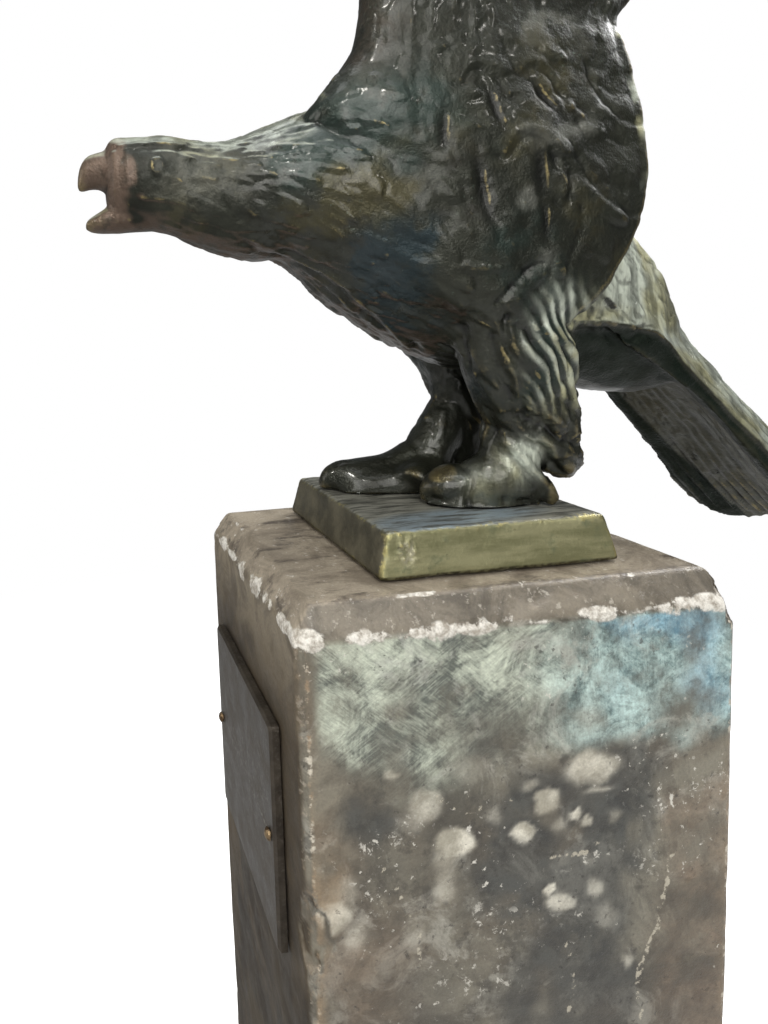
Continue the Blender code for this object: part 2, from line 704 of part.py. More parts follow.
def set_back(loops, distance):
    """Leans a wing back above the shoulder."""
    moved = []
    for loop in loops:
        new = []
        for x, y, z in loop:
            f = min(1.0, max(0.0, (z - 96.0) / 48.0))
            new.append((x, y + distance * (0.15 + 0.85 * f * f * (3.0 - 2.0 * f)), z))
        moved.append(new)
    return moved


def wing_loop(station, side, half_points=16):
    """A wing section: a thick round front edge, thinning to the rear edge."""
    fy, fz, ry, rz, fx, rx, bow = station
    outer = []
    inner = []
    for k in range(half_points + 1):
        c = 0.5 - 0.5 * math.cos(math.pi * k / half_points)
        half = 0.5 * (7.6 * (1.0 - c) ** 0.8 + 2.6)
        rounding = math.sqrt(max(0.0, 1.0 - max(0.0, 1.0 - c / 0.07) ** 2))
        rear = math.sqrt(max(0.0, 1.0 - max(0.0, 1.0 - (1.0 - c) / 0.02) ** 2))
        half *= rounding * rear
        y = fy + (ry - fy) * c
        z = fz + (rz - fz) * c
        x = fx + (rx - fx) * c + bow * math.sin(math.pi * c ** 0.8)
        outer.append((side * (x + half), y, z))
        inner.append((side * (x - half), y, z))
    return outer[:-1] + inner[::-1][:-1]


def wing_patch(side, back, mesh):
    """Covert and flight feathers on both faces of a wing."""
    tree = BVHTree.FromPolygons(
        [v.co.copy() for v in mesh.vertices], [tuple(p.vertices) for p in mesh.polygons]
    )
    found = []

    def put(y, z, lean, length, wide, high, face=1):
        start = Vector((side * face * 60.0 + side * 18.0, y + back, z + TOP_Z))
        ray = Vector((-side * face, 0.0, 0.0))
        spot, out, _, _ = tree.ray_cast(start, ray)
        if spot is None:
            return
        a = math.radians(lean)
        found.append((spot, Vector((0.0, math.sin(a), math.cos(a))), out, length, wide, high))

    for face in (1, -1):
        for k in range(13):
            f = k / 12
            y = -8.0 + 54.0 * f
            z = 132.0 + 14.0 * math.sin(math.pi * f)
            put(y, z, 2.0 + 24.0 * f, 118.0 - 34.0 * f * f, 3.1, 1.0, face)
        for k in range(11):
            f = k / 10
            put(-12.0 + 54.0 * f, 112.0 + 8.0 * math.sin(math.pi * f), 4 + 26 * f, 34.0, 3.6, 1.2, face)
    for row in range(6):
        for k in range(9):
            seed = row * 13.1 + k * 2.9
            y = -20.0 + 7.0 * k + 3.5 * (row % 2) + jitter(seed, 3.0)
            z = 70.0 + 8.6 * row + jitter(seed + 1, 3.0)
            put(y, z, 12.0 + 3.0 * k + jitter(seed + 2, 24.0), 14.0, 3.3, 1.3 + jitter(seed + 3, 0.8))
    return found


def thinned(mesh, name, mat, triangles):
    """The mesh as an object in the statuette, reduced to about that many triangles."""
    obj = bpy.data.objects.new(name, mesh)
    STATUETTE.objects.link(obj)
    obj.parent = ROOT
    mesh.transform(([MM, 0, 0, 0], [0, MM, 0, 0], [0, 0, MM, 0], [0, 0, 0, 1]))
    mesh.materials.clear()
    mesh.materials.append(mat)
    thin = obj.modifiers.new("thin", "DECIMATE")
    thin.ratio = min(1.0, triangles / (2.0 * len(mesh.polygons)))
    graph = bpy.context.evaluated_depsgraph_get()
    result = bpy.data.meshes.new_from_object(obj.evaluated_get(graph), depsgraph=graph)
    obj.modifiers.clear()
    obj.data = result
    return obj


def grown(obj, name, margin):
    """A copy of obj, a little larger all round, that cuts its seat in another piece."""
    mesh = obj.data.copy()
    spots, outward = vertex_arrays(mesh)
    mesh.vertices.foreach_set("co", (spots + outward * margin * MM).reshape(-1))
    mesh.update()
    copy = bpy.data.objects.new(name, mesh)
    CUTTERS.objects.link(copy)
    copy.hide_render = True
    copy.display_type = "WIRE"
    return copy


DOWEL_AT = (8.0, 84.0)
DOWEL_R = 2.0


def dowel_body(name, side, radius, near, far, mat, cutter=False):
    loops = []
    for x in (near, far):
        loop = []
        for px, py, _ in disc(radius, 0.0, 20):
            loop.append((side * x, DOWEL_AT[0] + px, DOWEL_AT[1] + py + TOP_Z))
        loops.append(loop)
    verts, faces = rings(loops)
    return face_out(place(name, verts, faces, mat, cutter))


def build_wing(word, side):
    back = WING_SETBACK[word]
    loops = [up_by(loop) for loop in set_back([wing_loop(s, side) for s in WING], back)]
    mesh = united("wing_skin", [rings(loops)], 0.9, 3)
    raise_feathers(mesh, wing_patch(side, back, mesh))
    wing = thinned(mesh, "wing_" + word, BRONZE, WING_TRIS)
    bore = dowel_body("wing_bore_" + word, side, DOWEL_R + GAP, 4.0, 22.5, BRONZE, True)
    seat = grown(wing, "wing_seat_" + word, 0.34)
    subtract(wing, [bore])
    dowel_body("wing_dowel_" + word, side, DOWEL_R, 12.0, 22.0, STEEL)
    return seat


def build_bird():
    seats = [build_wing("left", 1), build_wing("right", -1)]
    mesh = united("bird_skin", list(body_masses()), 0.9, 4)
    raise_feathers(mesh, body_feathers(mesh))
    body = thinned(mesh, "bird_body", BRONZE, BODY_TRIS)
    cutters = list(seats)
    verts, faces = rings([
        rounded_rectangle(50.0, 60.0, TOP_Z - 40.0, 2.0),
        rounded_rectangle(50.0, 60.0, FOOT_Z + GAP, 2.0),
    ])
    slab = [(x, min(y, 44.0), z) for x, y, z in verts]
    cutters.append(face_out(place("under_feet", slab, faces, BRONZE, True)))
    core = [(c[0], c[1], c[2] - 6.5, c[3] - 6.5, c[4]) for c in SPINE[8:15]]
    inner = [(y, z, max(t, 3.0), max(w, 3.0), s) for y, z, t, w, s in core]
    verts, faces = spine_loft(inner, 20)
    cutters.append(face_out(place("body_core", verts, faces, BRONZE, True)))
    for word, side in (("left", 1), ("right", -1)):
        bore = dowel_body("body_bore_" + word, side, DOWEL_R + GAP, 6.0, 30.0, BRONZE, True)
        cutters.append(bore)
        at = STUD_AT[word]
        steps = [(1.5 + GAP, FOOT_Z - 1.0), (1.5 + GAP, FOOT_Z + 3.8)]
        cutters.append(turned("foot_bore_" + word, steps, BRONZE, 16, at, True))
    subtract(body, cutters)
    largest_only(body)


def largest_only(obj):
    """Keeps the largest connected skin, dropping slivers that a cut left loose."""
    bm = bmesh.new()
    bm.from_mesh(obj.data)
    bm.verts.ensure_lookup_table()
    seen = [False] * len(bm.verts)
    groups = []
    for start in bm.verts:
        if seen[start.index]:
            continue
        seen[start.index] = True
        stack = [start]
        group = []
        while stack:
            vert = stack.pop()
            group.append(vert)
            for edge in vert.link_edges:
                other = edge.other_vert(vert)
                if not seen[other.index]:
                    seen[other.index] = True
                    stack.append(other)
        groups.append(group)
    groups.sort(key=len)
    for group in groups[:-1]:
        bmesh.ops.delete(bm, geom=group, context="VERTS")
    bm.to_mesh(obj.data)
    bm.free()


build_pad()
build_pillar()
build_plaque()
build_plinth()
build_fixings()
build_bird()
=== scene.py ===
import math

import bmesh
import bpy
import numpy as np
from mathutils import Matrix, Vector
from mathutils.bvhtree import BVHTree


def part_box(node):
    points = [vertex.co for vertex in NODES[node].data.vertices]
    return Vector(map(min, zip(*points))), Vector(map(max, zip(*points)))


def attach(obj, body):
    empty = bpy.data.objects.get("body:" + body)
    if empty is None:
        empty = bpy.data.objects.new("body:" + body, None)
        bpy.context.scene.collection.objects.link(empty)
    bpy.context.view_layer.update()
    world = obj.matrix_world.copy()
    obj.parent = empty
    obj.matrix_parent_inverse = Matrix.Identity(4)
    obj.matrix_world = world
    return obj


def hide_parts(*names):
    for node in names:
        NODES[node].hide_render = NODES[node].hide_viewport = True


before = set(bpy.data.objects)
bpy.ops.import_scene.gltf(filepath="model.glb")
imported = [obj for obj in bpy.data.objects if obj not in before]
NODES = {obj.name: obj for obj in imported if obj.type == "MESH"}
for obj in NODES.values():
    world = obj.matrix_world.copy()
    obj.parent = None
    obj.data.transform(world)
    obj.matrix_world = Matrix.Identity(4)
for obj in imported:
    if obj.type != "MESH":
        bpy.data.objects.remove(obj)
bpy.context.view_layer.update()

MM = 0.001                    # shapes are worked in millimetres and scaled when they become objects
PILLAR_LOW, PILLAR_HIGH = (v * 1000.0 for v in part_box("stone_pillar"))
PLINTH_LOW, PLINTH_HIGH = (v * 1000.0 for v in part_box("plinth"))
TOP = PILLAR_HIGH.z           # the pillar's top face; heights on the bird count from here
FOOT = PLINTH_HIGH.z - TOP
PLINTH_TOP_HALF = (28.1, 27.2)
CHAMFER_IN, CHAMFER_DOWN = 4.6, 6.0
BIRD_VOXEL, PILLAR_STEP, PLINTH_VOXEL = ((0.62, 1.0, 0.5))


# ------------------------------------------------------------------ numeric helpers

def smooth01(x):
    x = np.clip(x, 0.0, 1.0)
    return x * x * (3.0 - 2.0 * x)


def step(x, start, width):
    """Goes smoothly from 0 at start to 1 at start + width; a negative width makes it fall along x."""
    return smooth01((x - start) / width)


def lattice(ix, iy, iz, seed):
    """A fixed random value in -1..1 for every whole-numbered cell."""
    h = (ix * 73856093) ^ (iy * 19349663) ^ (iz * 83492791) ^ (seed * 2654435761 & 0xFFFFFFFF)
    h &= 0xFFFFFFFF
    for shift, factor in ((13, 0x5BD1E995), (15, 0x27D4EB2D)):
        h ^= h >> shift
        h = (h * factor) & 0xFFFFFFFF
    h ^= h >> 16
    return h.astype(np.float64) / 0xFFFFFFFF * 2.0 - 1.0


def vnoise(p, scale, seed, octaves=1):
    """Smooth noise of about -1..1 at points p; scale is the cell size, one number or three."""
    total, norm, gain = np.zeros(len(p)), 0.0, 1.0
    for o in range(octaves):
        q = p / (np.asarray(scale, float) / 2.0 ** o) + 17.3 * (o + 1) + 1000.0
        base = np.floor(q).astype(np.int64)
        f = q - base
        f = f * f * (3.0 - 2.0 * f)
        (x, y, z), share = base.T, ((1 - f).T, f.T)
        for dx, dy, dz in np.ndindex(2, 2, 2):
            weight = share[dx][0] * share[dy][1] * share[dz][2]
            total += gain * weight * lattice(x + dx, y + dy, z + dz, seed + o * 7)
        norm += gain
        gain *= 0.5
    return total / norm * 1.4


def vnoise3(p, scale, seed, octaves=1):
    return np.stack([vnoise(p, scale, seed + k, octaves) for k in range(3)], 1)


def spot(p, centre, radius, squash=(1, 1, 1)):
    d = (p - np.array(centre, float)) * np.array(squash, float)
    return np.exp(-(d ** 2).sum(1) / radius ** 2)


def spots(p, *rows):
    """The sum of soft round spots; each row is (strength, x, y, z, radius)."""
    return sum(strength * spot(p, (x, y, z), radius) for strength, x, y, z, radius in rows)


def nearest_on(p, a, b):
    """Vectors from the nearest points of the segment a-b to the points p."""
    t = np.clip(((p - a) @ (b - a)) / max((b - a) @ (b - a), 1e-9), 0, 1)
    return p - a - t[:, None] * (b - a)


def arrays(mesh):
    """Coordinates and normals of a mesh's vertices."""
    co, no = np.empty(len(mesh.vertices) * 3), np.empty(len(mesh.vertices) * 3)
    mesh.vertices.foreach_get("co", co)
    mesh.vertex_normals.foreach_get("vector", no)
    return co.reshape(-1, 3), no.reshape(-1, 3)


def moved(mesh, co):
    """Moves a mesh's vertices and returns its new coordinates and normals."""
    mesh.vertices.foreach_set("co", np.ascontiguousarray(co).reshape(-1))
    mesh.update()
    return arrays(mesh)


def edge_pairs(mesh):
    ends = np.empty(len(mesh.edges) * 2, np.int64)
    mesh.edges.foreach_get("vertices", ends)
    return ends.reshape(-1, 2)


def relax(co, pairs, times, factor, weight=None):
    """Moves points toward the mean of their neighbours."""
    n = len(co)
    a, b = pairs.T
    count = np.maximum(np.bincount(a, minlength=n) + np.bincount(b, minlength=n), 1)
    share = factor if weight is None else factor * weight[:, None]
    for _ in range(times):
        total = np.stack([np.bincount(a, co[b, k], n) + np.bincount(b, co[a, k], n) for k in range(3)], 1)
        co = co + (total / count[:, None] - co) * share
    return co


def proud(co, no, pairs, times):
    """How far each point stands out from the relaxed surface around it."""
    return ((co - relax(co, pairs, times, 0.6)) * no).sum(1)


def set_attrs(mesh, **named):
    for name, values in named.items():
        attr = mesh.attributes.new(name, "FLOAT", "POINT")
        attr.data.foreach_set("value", np.ascontiguousarray(values, np.float32))


def mesh_from(name, verts, faces):
    mesh = bpy.data.meshes.new(name)
    mesh.from_pydata([tuple(v) for v in verts], [], faces)
    mesh.update()
    return mesh


def linked(name, data):
    obj = bpy.data.objects.new(name, data)
    bpy.context.scene.collection.objects.link(obj)
    return obj


def show(name, mesh, mat, slot, *replaced):
    """Puts a finished mesh in the scene in place of the frame's nodes, riding on the one body."""
    mesh.transform(Matrix.Diagonal((MM, MM, MM, 1.0)))
    mesh.materials.clear()
    mesh.materials.append(mat)
    mesh.polygons.foreach_set("use_smooth", [True] * len(mesh.polygons))
    obj = linked(name, mesh)
    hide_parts(*replaced)
    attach(obj, "root")


def voxel_skin(mesh, voxel, soften):
    """One closed skin of small squares over a mesh, softened a number of times."""
    obj = linked("masses", mesh)
    remesh = obj.modifiers.new("skin", "REMESH")
    remesh.mode = "VOXEL"
    remesh.voxel_size = voxel
    obj.modifiers.new("soften", "SMOOTH").iterations = soften
    graph = bpy.context.evaluated_depsgraph_get()
    result = bpy.data.meshes.new_from_object(obj.evaluated_get(graph), depsgraph=graph)
    bpy.data.objects.remove(obj, do_unlink=True)
    return result


# ------------------------------------------------------------------ masses of the bird

def rings(loops):
    """Vertices and faces of a closed skin over loops of equal length."""
    count = len(loops[0])
    verts = [tuple(p) for loop in loops for p in loop]
    faces = [tuple(range(count - 1, -1, -1))]
    for a in range(0, len(verts) - count, count):
        for j in range(count):
            k = (j + 1) % count
            faces.append((a + j, a + k, a + count + k, a + count + j))
    return verts, faces + [tuple(range(len(verts) - count, len(verts)))]


def circle(segments):
    turns = [2 * math.pi * k / segments for k in range(segments)]
    return [(math.cos(t), math.sin(t)) for t in turns]


def densify(stations, steps):
    """Catmull-Rom samples between stations, so that skins have no visible bands."""
    s = np.array(stations, float)
    padded = np.vstack([s[:1], s, s[-1:]])
    out = []
    for p0, p1, p2, p3 in zip(padded, padded[1:], padded[2:], padded[3:]):
        square, cube = 2 * p0 - 5 * p1 + 4 * p2 - p3, 3 * p1 - p0 - 3 * p2 + p3
        for t in np.arange(steps) / steps:
            out.append(0.5 * (2 * p1 + (p2 - p0) * t + square * t * t + cube * t ** 3))
    return [tuple(v) for v in out + [s[-1]]]


def spine_loft(stations, segments):
    """Egg-shaped sections across the body; each station is (y, z, half height, half width, slope)."""
    loops = []
    for y, z, tall, wide, slope in densify(stations, 3):
        lean_y, lean_z = math.sin(math.radians(slope)), math.cos(math.radians(slope))
        loops.append([(wide * c, y + tall * s * lean_y, z + tall * s * lean_z) for c, s in circle(segments)])
    return rings(loops)


def limb_loft(stations):
    """Level ellipses; each station is (x, y, z, half x, half y)."""
    rows = densify(stations, 3)
    return rings([[(x + c * rx, y + s * ry, z) for c, s in circle(32)] for x, y, z, rx, ry in rows])


def tube(stations, segments=24):
    """A round skin along a bent line; each station is (x, y, z, radius)."""
    stations = densify(stations, 4)
    points = [Vector(s[:3]) for s in stations]
    loops = []
    for i, point in enumerate(points):
        along = (points[min(i + 1, len(points) - 1)] - points[max(i - 1, 0)]).normalized()
        side = along.cross(Vector((0.13, 0.21, 1.0))).normalized()
        over = side.cross(along)
        loops.append([tuple(point + (side * c + over * s) * stations[i][3]) for c, s in circle(segments)])
    return rings(loops)


# Each of these is a list of stations; what a station holds is told by the loft that reads it.
SPINE = [
    (-83, 101.4, 6.6, 4.6, 0), (-82.2, 101.2, 9, 6.4, 0), (-80.6, 100.9, 10.6, 7.8, 0),
    (-78, 100.7, 11, 8.9, 0), (-74, 100.2, 11.5, 10.3, 0), (-68, 98.9, 12.3, 11.2, 0),
    (-61, 96.8, 12.9, 11.9, 2), (-53, 95, 14.3, 13.2, 2), (-45, 95, 16.2, 15.2, 2),
    (-37, 96.3, 17.8, 17.6, 4), (-29, 95.4, 21.7, 19.8, 8), (-20, 92.7, 25.3, 22, 14),
    (-8, 86.1, 27.2, 23.8, 20), (5, 80.1, 28.7, 24.6, 25), (18, 73.4, 28.6, 24, 28),
    (31, 68, 25.6, 21.8, 32), (43, 62, 22.2, 18.4, 38), (53, 53.7, 18.3, 15.6, 43),
    (61, 46.2, 12.6, 13, 45), (67.4, 40.4, 6.6, 9.6, 45),
]
BEAK_UPPER = [
    (-76, 102, 6, 5.6, 0), (-82.4, 103.2, 5.3, 5, 0), (-85, 103.6, 4.5, 4.3, 0), (-87.4, 103.2, 4, 3.4, 0),
    (-89, 102, 3.3, 2.4, 0), (-89.9, 100.6, 1.9, 1.4, 0), (-90.2, 99.7, 0.8, 0.7, 0),
]
BEAK_LOWER = [
    (-72, 92, 4.2, 5.6, 0), (-82, 91.3, 3.3, 4.4, 0), (-85.2, 90.6, 2.5, 3.6, 0),
    (-87.4, 90.2, 1.7, 2.6, 0), (-88.7, 90, 0.9, 1.5, 0),
]
THIGH_LEFT = [
    (13, 10, 74, 8, 12), (15, 12.6, 64, 10, 15), (16, 15.2, 54, 10.3, 13.6), (15.6, 17.1, 44, 9.2, 12.1),
    (15, 20.8, 34, 7.6, 10.2), (15, 25, 26.5, 6, 7.2), (15, 27.4, 21.5, 4.4, 4.6), (15, 28.6, 18.8, 2, 2.1),
]
THIGH_RIGHT = [
    (-12, 8, 74, 8, 12), (-14, 11, 64, 10, 13.5), (-14, 14, 54, 9.6, 11.5), (-11, 17, 44, 8.2, 8),
    (-9, 18.6, 34, 7.2, 7.8), (-8.6, 18.2, 25, 6.4, 7.8), (-8.4, 17.6, 17.5, 5.4, 7),
    (-8.4, 17.4, 12.6, 3.4, 5),
]
LIMBS = [
    [(13.8, 19, 40, 6.2), (13.4, 17.4, 31, 6.4), (13.2, 16.2, 24.5, 6.9), (13, 15.8, 15, 7)],
    [(13, 13, 19.5, 6.6), (11.8, 8.8, 17.4, 5.8), (10.8, 5.2, 16.2, 5.2), (10.2, 3.4, 15.4, 4.8)],
    [(9.8, 4.8, 16.6, 5.2), (9.3, 2.6, 16.3, 5.5), (9, 1, 15.4, 5.4), (9, 0.4, 13.8, 5)],
    [(13.4, 13.6, 20, 6.6), (13.2, 10.6, 16, 6.2), (12.8, 9, 13, 5)],
    [
        (8, -2.4, 10, 3.8), (11.4, 2, 9.6, 5), (12.8, 8, 9.4, 5.6), (13.2, 15, 9.4, 5.4),
        (13.6, 21, 9.8, 4.2),
    ],
    [(14.4, 15, 22, 5.4), (16.4, 18.8, 18, 4), (17.2, 20.8, 15, 3.2), (17.6, 21.8, 12.8, 2.4)],
    [
        (-9, 16.4, 42, 6.4), (-8.8, 15.2, 34, 6), (-8.4, 10.6, 27, 6.4), (-8.4, 6.6, 21, 6.9),
        (-8, 6, 14, 6.9),
    ],
    [(-8.8, 2.6, 19.4, 6.3), (-9.4, -4, 17, 5.2), (-10.4, -12, 16.2, 4.8), (-11, -17.6, 15.8, 4.7)],
    [(-5.8, 5, 17.6, 5.6), (-2.8, 1.2, 16, 5.2), (-0.6, -1.4, 15.4, 5), (0.2, -2.6, 14.6, 4.4)],
    [(-10, 3.4, 18, 4.4), (-16, 1.4, 15.8, 3.7), (-20, -0.6, 14.2, 2.8), (-21.4, -1.4, 13, 1.6)],
    [(-9, -19.4, 11.4, 4), (-7.8, -13, 12.4, 5.6), (-6.6, -5, 12.8, 6.2), (-5, 2, 13.6, 6.4)],
]
CLAWS = [
    [(8.8, -1.6, 16, 3), (8.6, -3, 14.6, 2.3), (8.6, -3.5, 12.4, 1.5)],
    [(17.4, 21.4, 15, 2.2), (18, 22.8, 13.8, 1.5), (18.2, 23.4, 12.2, 0.8)],
    [(-11.2, -17.6, 16, 4.5), (-11.6, -20, 15.2, 4), (-12, -21.6, 13.6, 3.3), (-12, -22, 12, 2.8)],
    [(-20.6, -1, 14.2, 2.2), (-22, -1.8, 13.2, 1.4), (-22.4, -2, 12, 0.8)],
]
BROW = [(6.6, -80.2, 107.8, 0.7), (7.8, -75, 107.8, 0.8), (8.4, -69, 107.2, 0.8), (8.4, -62, 105.6, 0.5)]
TAIL = [
    (-8, 19, -1, 14, 8.6), (0, 18, 0.6, 17, 8.6), (10, 17, 0.8, 15.2, 7), (22, 16.4, 0.6, 13.2, 4.8),
    (36, 16.4, 0.4, 12.4, 3.6), (52, 17, -0.4, 12.8, 3.8), (68, 18.2, -1.4, 13.4, 4.4),
    (80, 18.2, -2.2, 12.8, 4), (87, 15.6, -1.8, 11.2, 3.2), (91, 10.6, 0.4, 7.6, 2.6),
]
WING = [
    (-2, 62, 21, 57, 17, 22.6, 2.4), (-10, 67, 27.8, 60.5, 16, 23.6, 3.4),
    (-17, 74, 33.6, 67, 14.6, 24, 4.6), (-22, 83, 37.8, 75.5, 13.2, 24, 5.6),
    (-25, 93, 41.8, 84, 12, 23.6, 6.2), (-29, 103, 43.3, 93.5, 11, 22.8, 6.4),
    (-34.2, 111.2, 43.2, 103, 10, 21.4, 6.4), (-28.8, 118, 42.8, 112.5, 11, 19.8, 5.4),
    (-22.8, 125.5, 42.2, 122, 12, 18, 4.4), (-20.4, 133, 40.9, 129, 12, 16.5, 4),
    (-19.6, 141, 44.6, 134, 12, 16, 3.5), (-18.8, 151, 53, 144, 12, 15, 3),
    (-17, 165, 61, 160, 12, 14.5, 3), (-13.5, 181, 67, 180, 12.5, 14.5, 3), (-7.5, 199, 70, 201, 13, 15, 3),
    (0.5, 217, 70, 221, 14, 15.5, 2.5), (10.5, 233, 67, 239, 15, 16.5, 2),
    (22, 247, 61.5, 252, 16, 17.5, 1.5), (33, 256, 53.5, 259, 17, 18.5, 1),
    (41, 260.5, 46.5, 261.5, 18, 18.6, 0.5),
]
TAIL_START = (48.0, 58.0)     # y and z of the tail's root; it slopes down to the rear at 45 degrees
SETBACK = {1: 0.0, -1: 14.0}  # how far each raised wing stands back
SLANT = math.radians(45.0)
TAIL_DOWN = Vector((0.0, math.cos(SLANT), -math.sin(SLANT)))
TAIL_OVER = Vector((0.0, math.sin(SLANT), math.cos(SLANT)))


def tail_loop(station, half_points=40):
    """An arched section; station is (distance along, half width, edge level, crown height, thickness)."""
    along, wide, edge, crown, thick = station
    top, bottom = [], []
    for k in range(half_points + 1):
        u = 1.0 - 2.0 * k / half_points
        arch = crown * (1.0 - abs(u) ** 1.8)
        top.append((wide * u, edge + arch))
        bottom.append((wide * u * 0.985, edge - thick + 0.55 * arch))
    c, s = math.cos(SLANT), math.sin(SLANT)
    y, z = TAIL_START
    return [(x, y + along * c + n * s, z - along * s + n * c) for x, n in top + bottom[::-1]]


def wing_shift(z, side):
    """How far the wing on a side stands back at a height."""
    f = min(1.0, max(0.0, (z - 96.0) / 48.0))
    return SETBACK[side] * (0.15 + 0.85 * f * f * (3.0 - 2.0 * f))


def wing_loop(station, side, half_points=44):
    """A section from front to rear; station is (front y, z, rear y, z, front x, rear x, outward bow)."""
    fy, fz, ry, rz, fx, rx, bow = station
    outer, inner = [], []
    for k in range(half_points + 1):
        c = 0.5 - 0.5 * math.cos(math.pi * k / half_points)
        half = 0.5 * (7.6 * (1.0 - c) ** 0.8 + 2.6)
        for past, reach in ((c, 0.07), (1.0 - c, 0.02)):
            half *= math.sqrt(max(0.0, 1.0 - max(0.0, 1.0 - past / reach) ** 2))
        x = fx + (rx - fx) * c + bow * math.sin(math.pi * c ** 0.8)
        z = fz + (rz - fz) * c
        y = fy + (ry - fy) * c + wing_shift(z, side)
        outer.append((side * (x + half), y, z))
        inner.append((side * (x - half), y, z))
    return outer[:-1] + inner[:0:-1]


def bird_masses():
    """Overlapping closed skins that make up the bird."""
    for stations, segments in ((SPINE, 64), (BEAK_UPPER, 40), (BEAK_LOWER, 40)):
        yield spine_loft(stations, segments)
    for stations in (THIGH_LEFT, THIGH_RIGHT):
        yield limb_loft(stations)
    for stations in LIMBS + CLAWS:
        yield tube(stations)
    for side in (1, -1):
        yield tube([(side * x, y, z, r) for x, y, z, r in BROW], 16)
    yield rings([tail_loop(s) for s in densify(TAIL, 4)])
    for side in (1, -1):
        yield rings([wing_loop(s, side) for s in densify(WING, 4)])


def united(masses):
    verts, faces = [], []
    for more_verts, more_faces in masses:
        faces.extend(tuple(len(verts) + i for i in face) for face in more_faces)
        verts.extend(more_verts)
    mesh = mesh_from("masses", verts, faces)
    bm = bmesh.new()
    bm.from_mesh(mesh)
    bmesh.ops.recalc_face_normals(bm, faces=bm.faces)
    bm.to_mesh(mesh)
    bm.free()
    return mesh


# ------------------------------------------------------------------ plumage in relief

def rnd(seed):
    return math.sin(seed * 12.9898 + 4.137) * 43758.5453 % 1.0 * 2.0 - 1.0


def bell(x, width):
    return np.exp(-(x / width) ** 2)


def raise_to(field, where, values):
    field[where] = np.maximum(field[where], values)


def stamp_feathers(co, no, feathers):
    """Raised height, dug depth, quill strength and darkness of hollows from overlapping feathers."""
    lift, dug, quill_at, pit_at = fields = np.zeros((4, len(co)))
    cell = 12.0

    def code_of(kx, ky, kz):
        return (kx + 512) * 1048576 + (ky + 512) * 1024 + kz + 512

    code = code_of(*np.floor(co / cell).astype(np.int64).T)
    order = np.argsort(code, kind="stable")
    code = code[order]
    for root, along, out, length, wide, high, kind in feathers:
        root, along, out = np.array(root), np.array(along), np.array(out)
        along = along - out * (along @ out)
        along /= np.linalg.norm(along) + 1e-9
        side = np.cross(out, along)
        middle, reach = root + along * length * 0.55, 0.66 * length + wide
        low, top = (np.floor((middle + way * reach) / cell).astype(int) for way in (-1, 1))
        chunks = []
        for kx in range(low[0], top[0] + 1):
            for ky in range(low[1], top[1] + 1):
                first = np.searchsorted(code, code_of(kx, ky, low[2]), "left")
                chunks.append(order[first:np.searchsorted(code, code_of(kx, ky, top[2]), "right")])
        near = np.concatenate(chunks)
        rel = co[near] - root
        keep = (no[near] @ out > 0.15) & (np.abs(rel @ out) < 0.4 * length + 2.0)
        near, rel = near[keep], rel[keep]
        v = rel @ along / length
        bend = 0.12 * rnd(root[1] * 3.1 + root[2])
        u = rel @ side / wide + bend * np.sin(np.clip(v, 0, 1) * 3.0)
        if kind == "oval":
            # a wide shallow bowl with a thin quill beside it
            w, lengthwise = -u * np.sign(side[1]), (v - 0.45) / 0.42
            spine = bell(w + 0.1, 0.12) * smooth01((1.0 - np.abs(lengthwise)) / 0.5)
            bowl = bell(w - 0.3, 0.6) * bell(lengthwise, 1.0)
            values = (0.3 * high * spine, 0.45 * high * bowl, 1.25 * spine, bowl)
            for field, value in zip(fields, values):
                raise_to(field, near, value)
            continue
        if kind == "ring":
            r = np.hypot(2.0 * v - 1.0, u)
            circlet = bell(r - 0.75, 0.22)
            raise_to(lift, near, high * (circlet + 0.6 * bell(r, 0.35)) * (r < 1.3))
            raise_to(quill_at, near, circlet * (r < 1.2) * 0.7)
            continue
        tip = np.clip((v - 0.5) / 0.5, 0.0, 1.0)
        room = np.sqrt(1.0 - tip ** (1.3 if kind == "hackle" else 2.0)) - np.abs(u)
        edge = smooth01(room / (0.22 if kind == "flight" else 0.35))
        inside = (v > 0.0) & (v < 1.0) & (room > 0.0)
        quill = bell(u, 0.15) * smooth01(v * 3.0) * smooth01((1.0 - v) * 5.0)
        if kind == "flight":
            crown = 0.75 + 0.25 * v - 0.35 * np.abs(u) + 0.28 * quill
        else:
            crown = smooth01(v / 0.35) * (0.35 + 0.65 * v) - 0.22 * u * u + 0.2 * quill
        raise_to(lift, near, np.where(inside, high * edge * crown, 0.0))
        raise_to(quill_at, near, np.where(inside, quill * 0.6, 0.0))
        past = (v >= 0.8) & (room <= 0.25)
        raise_to(dug, near, np.where(past, 0.35 * high * bell(room + 0.12, 0.16), 0.0))
    return fields


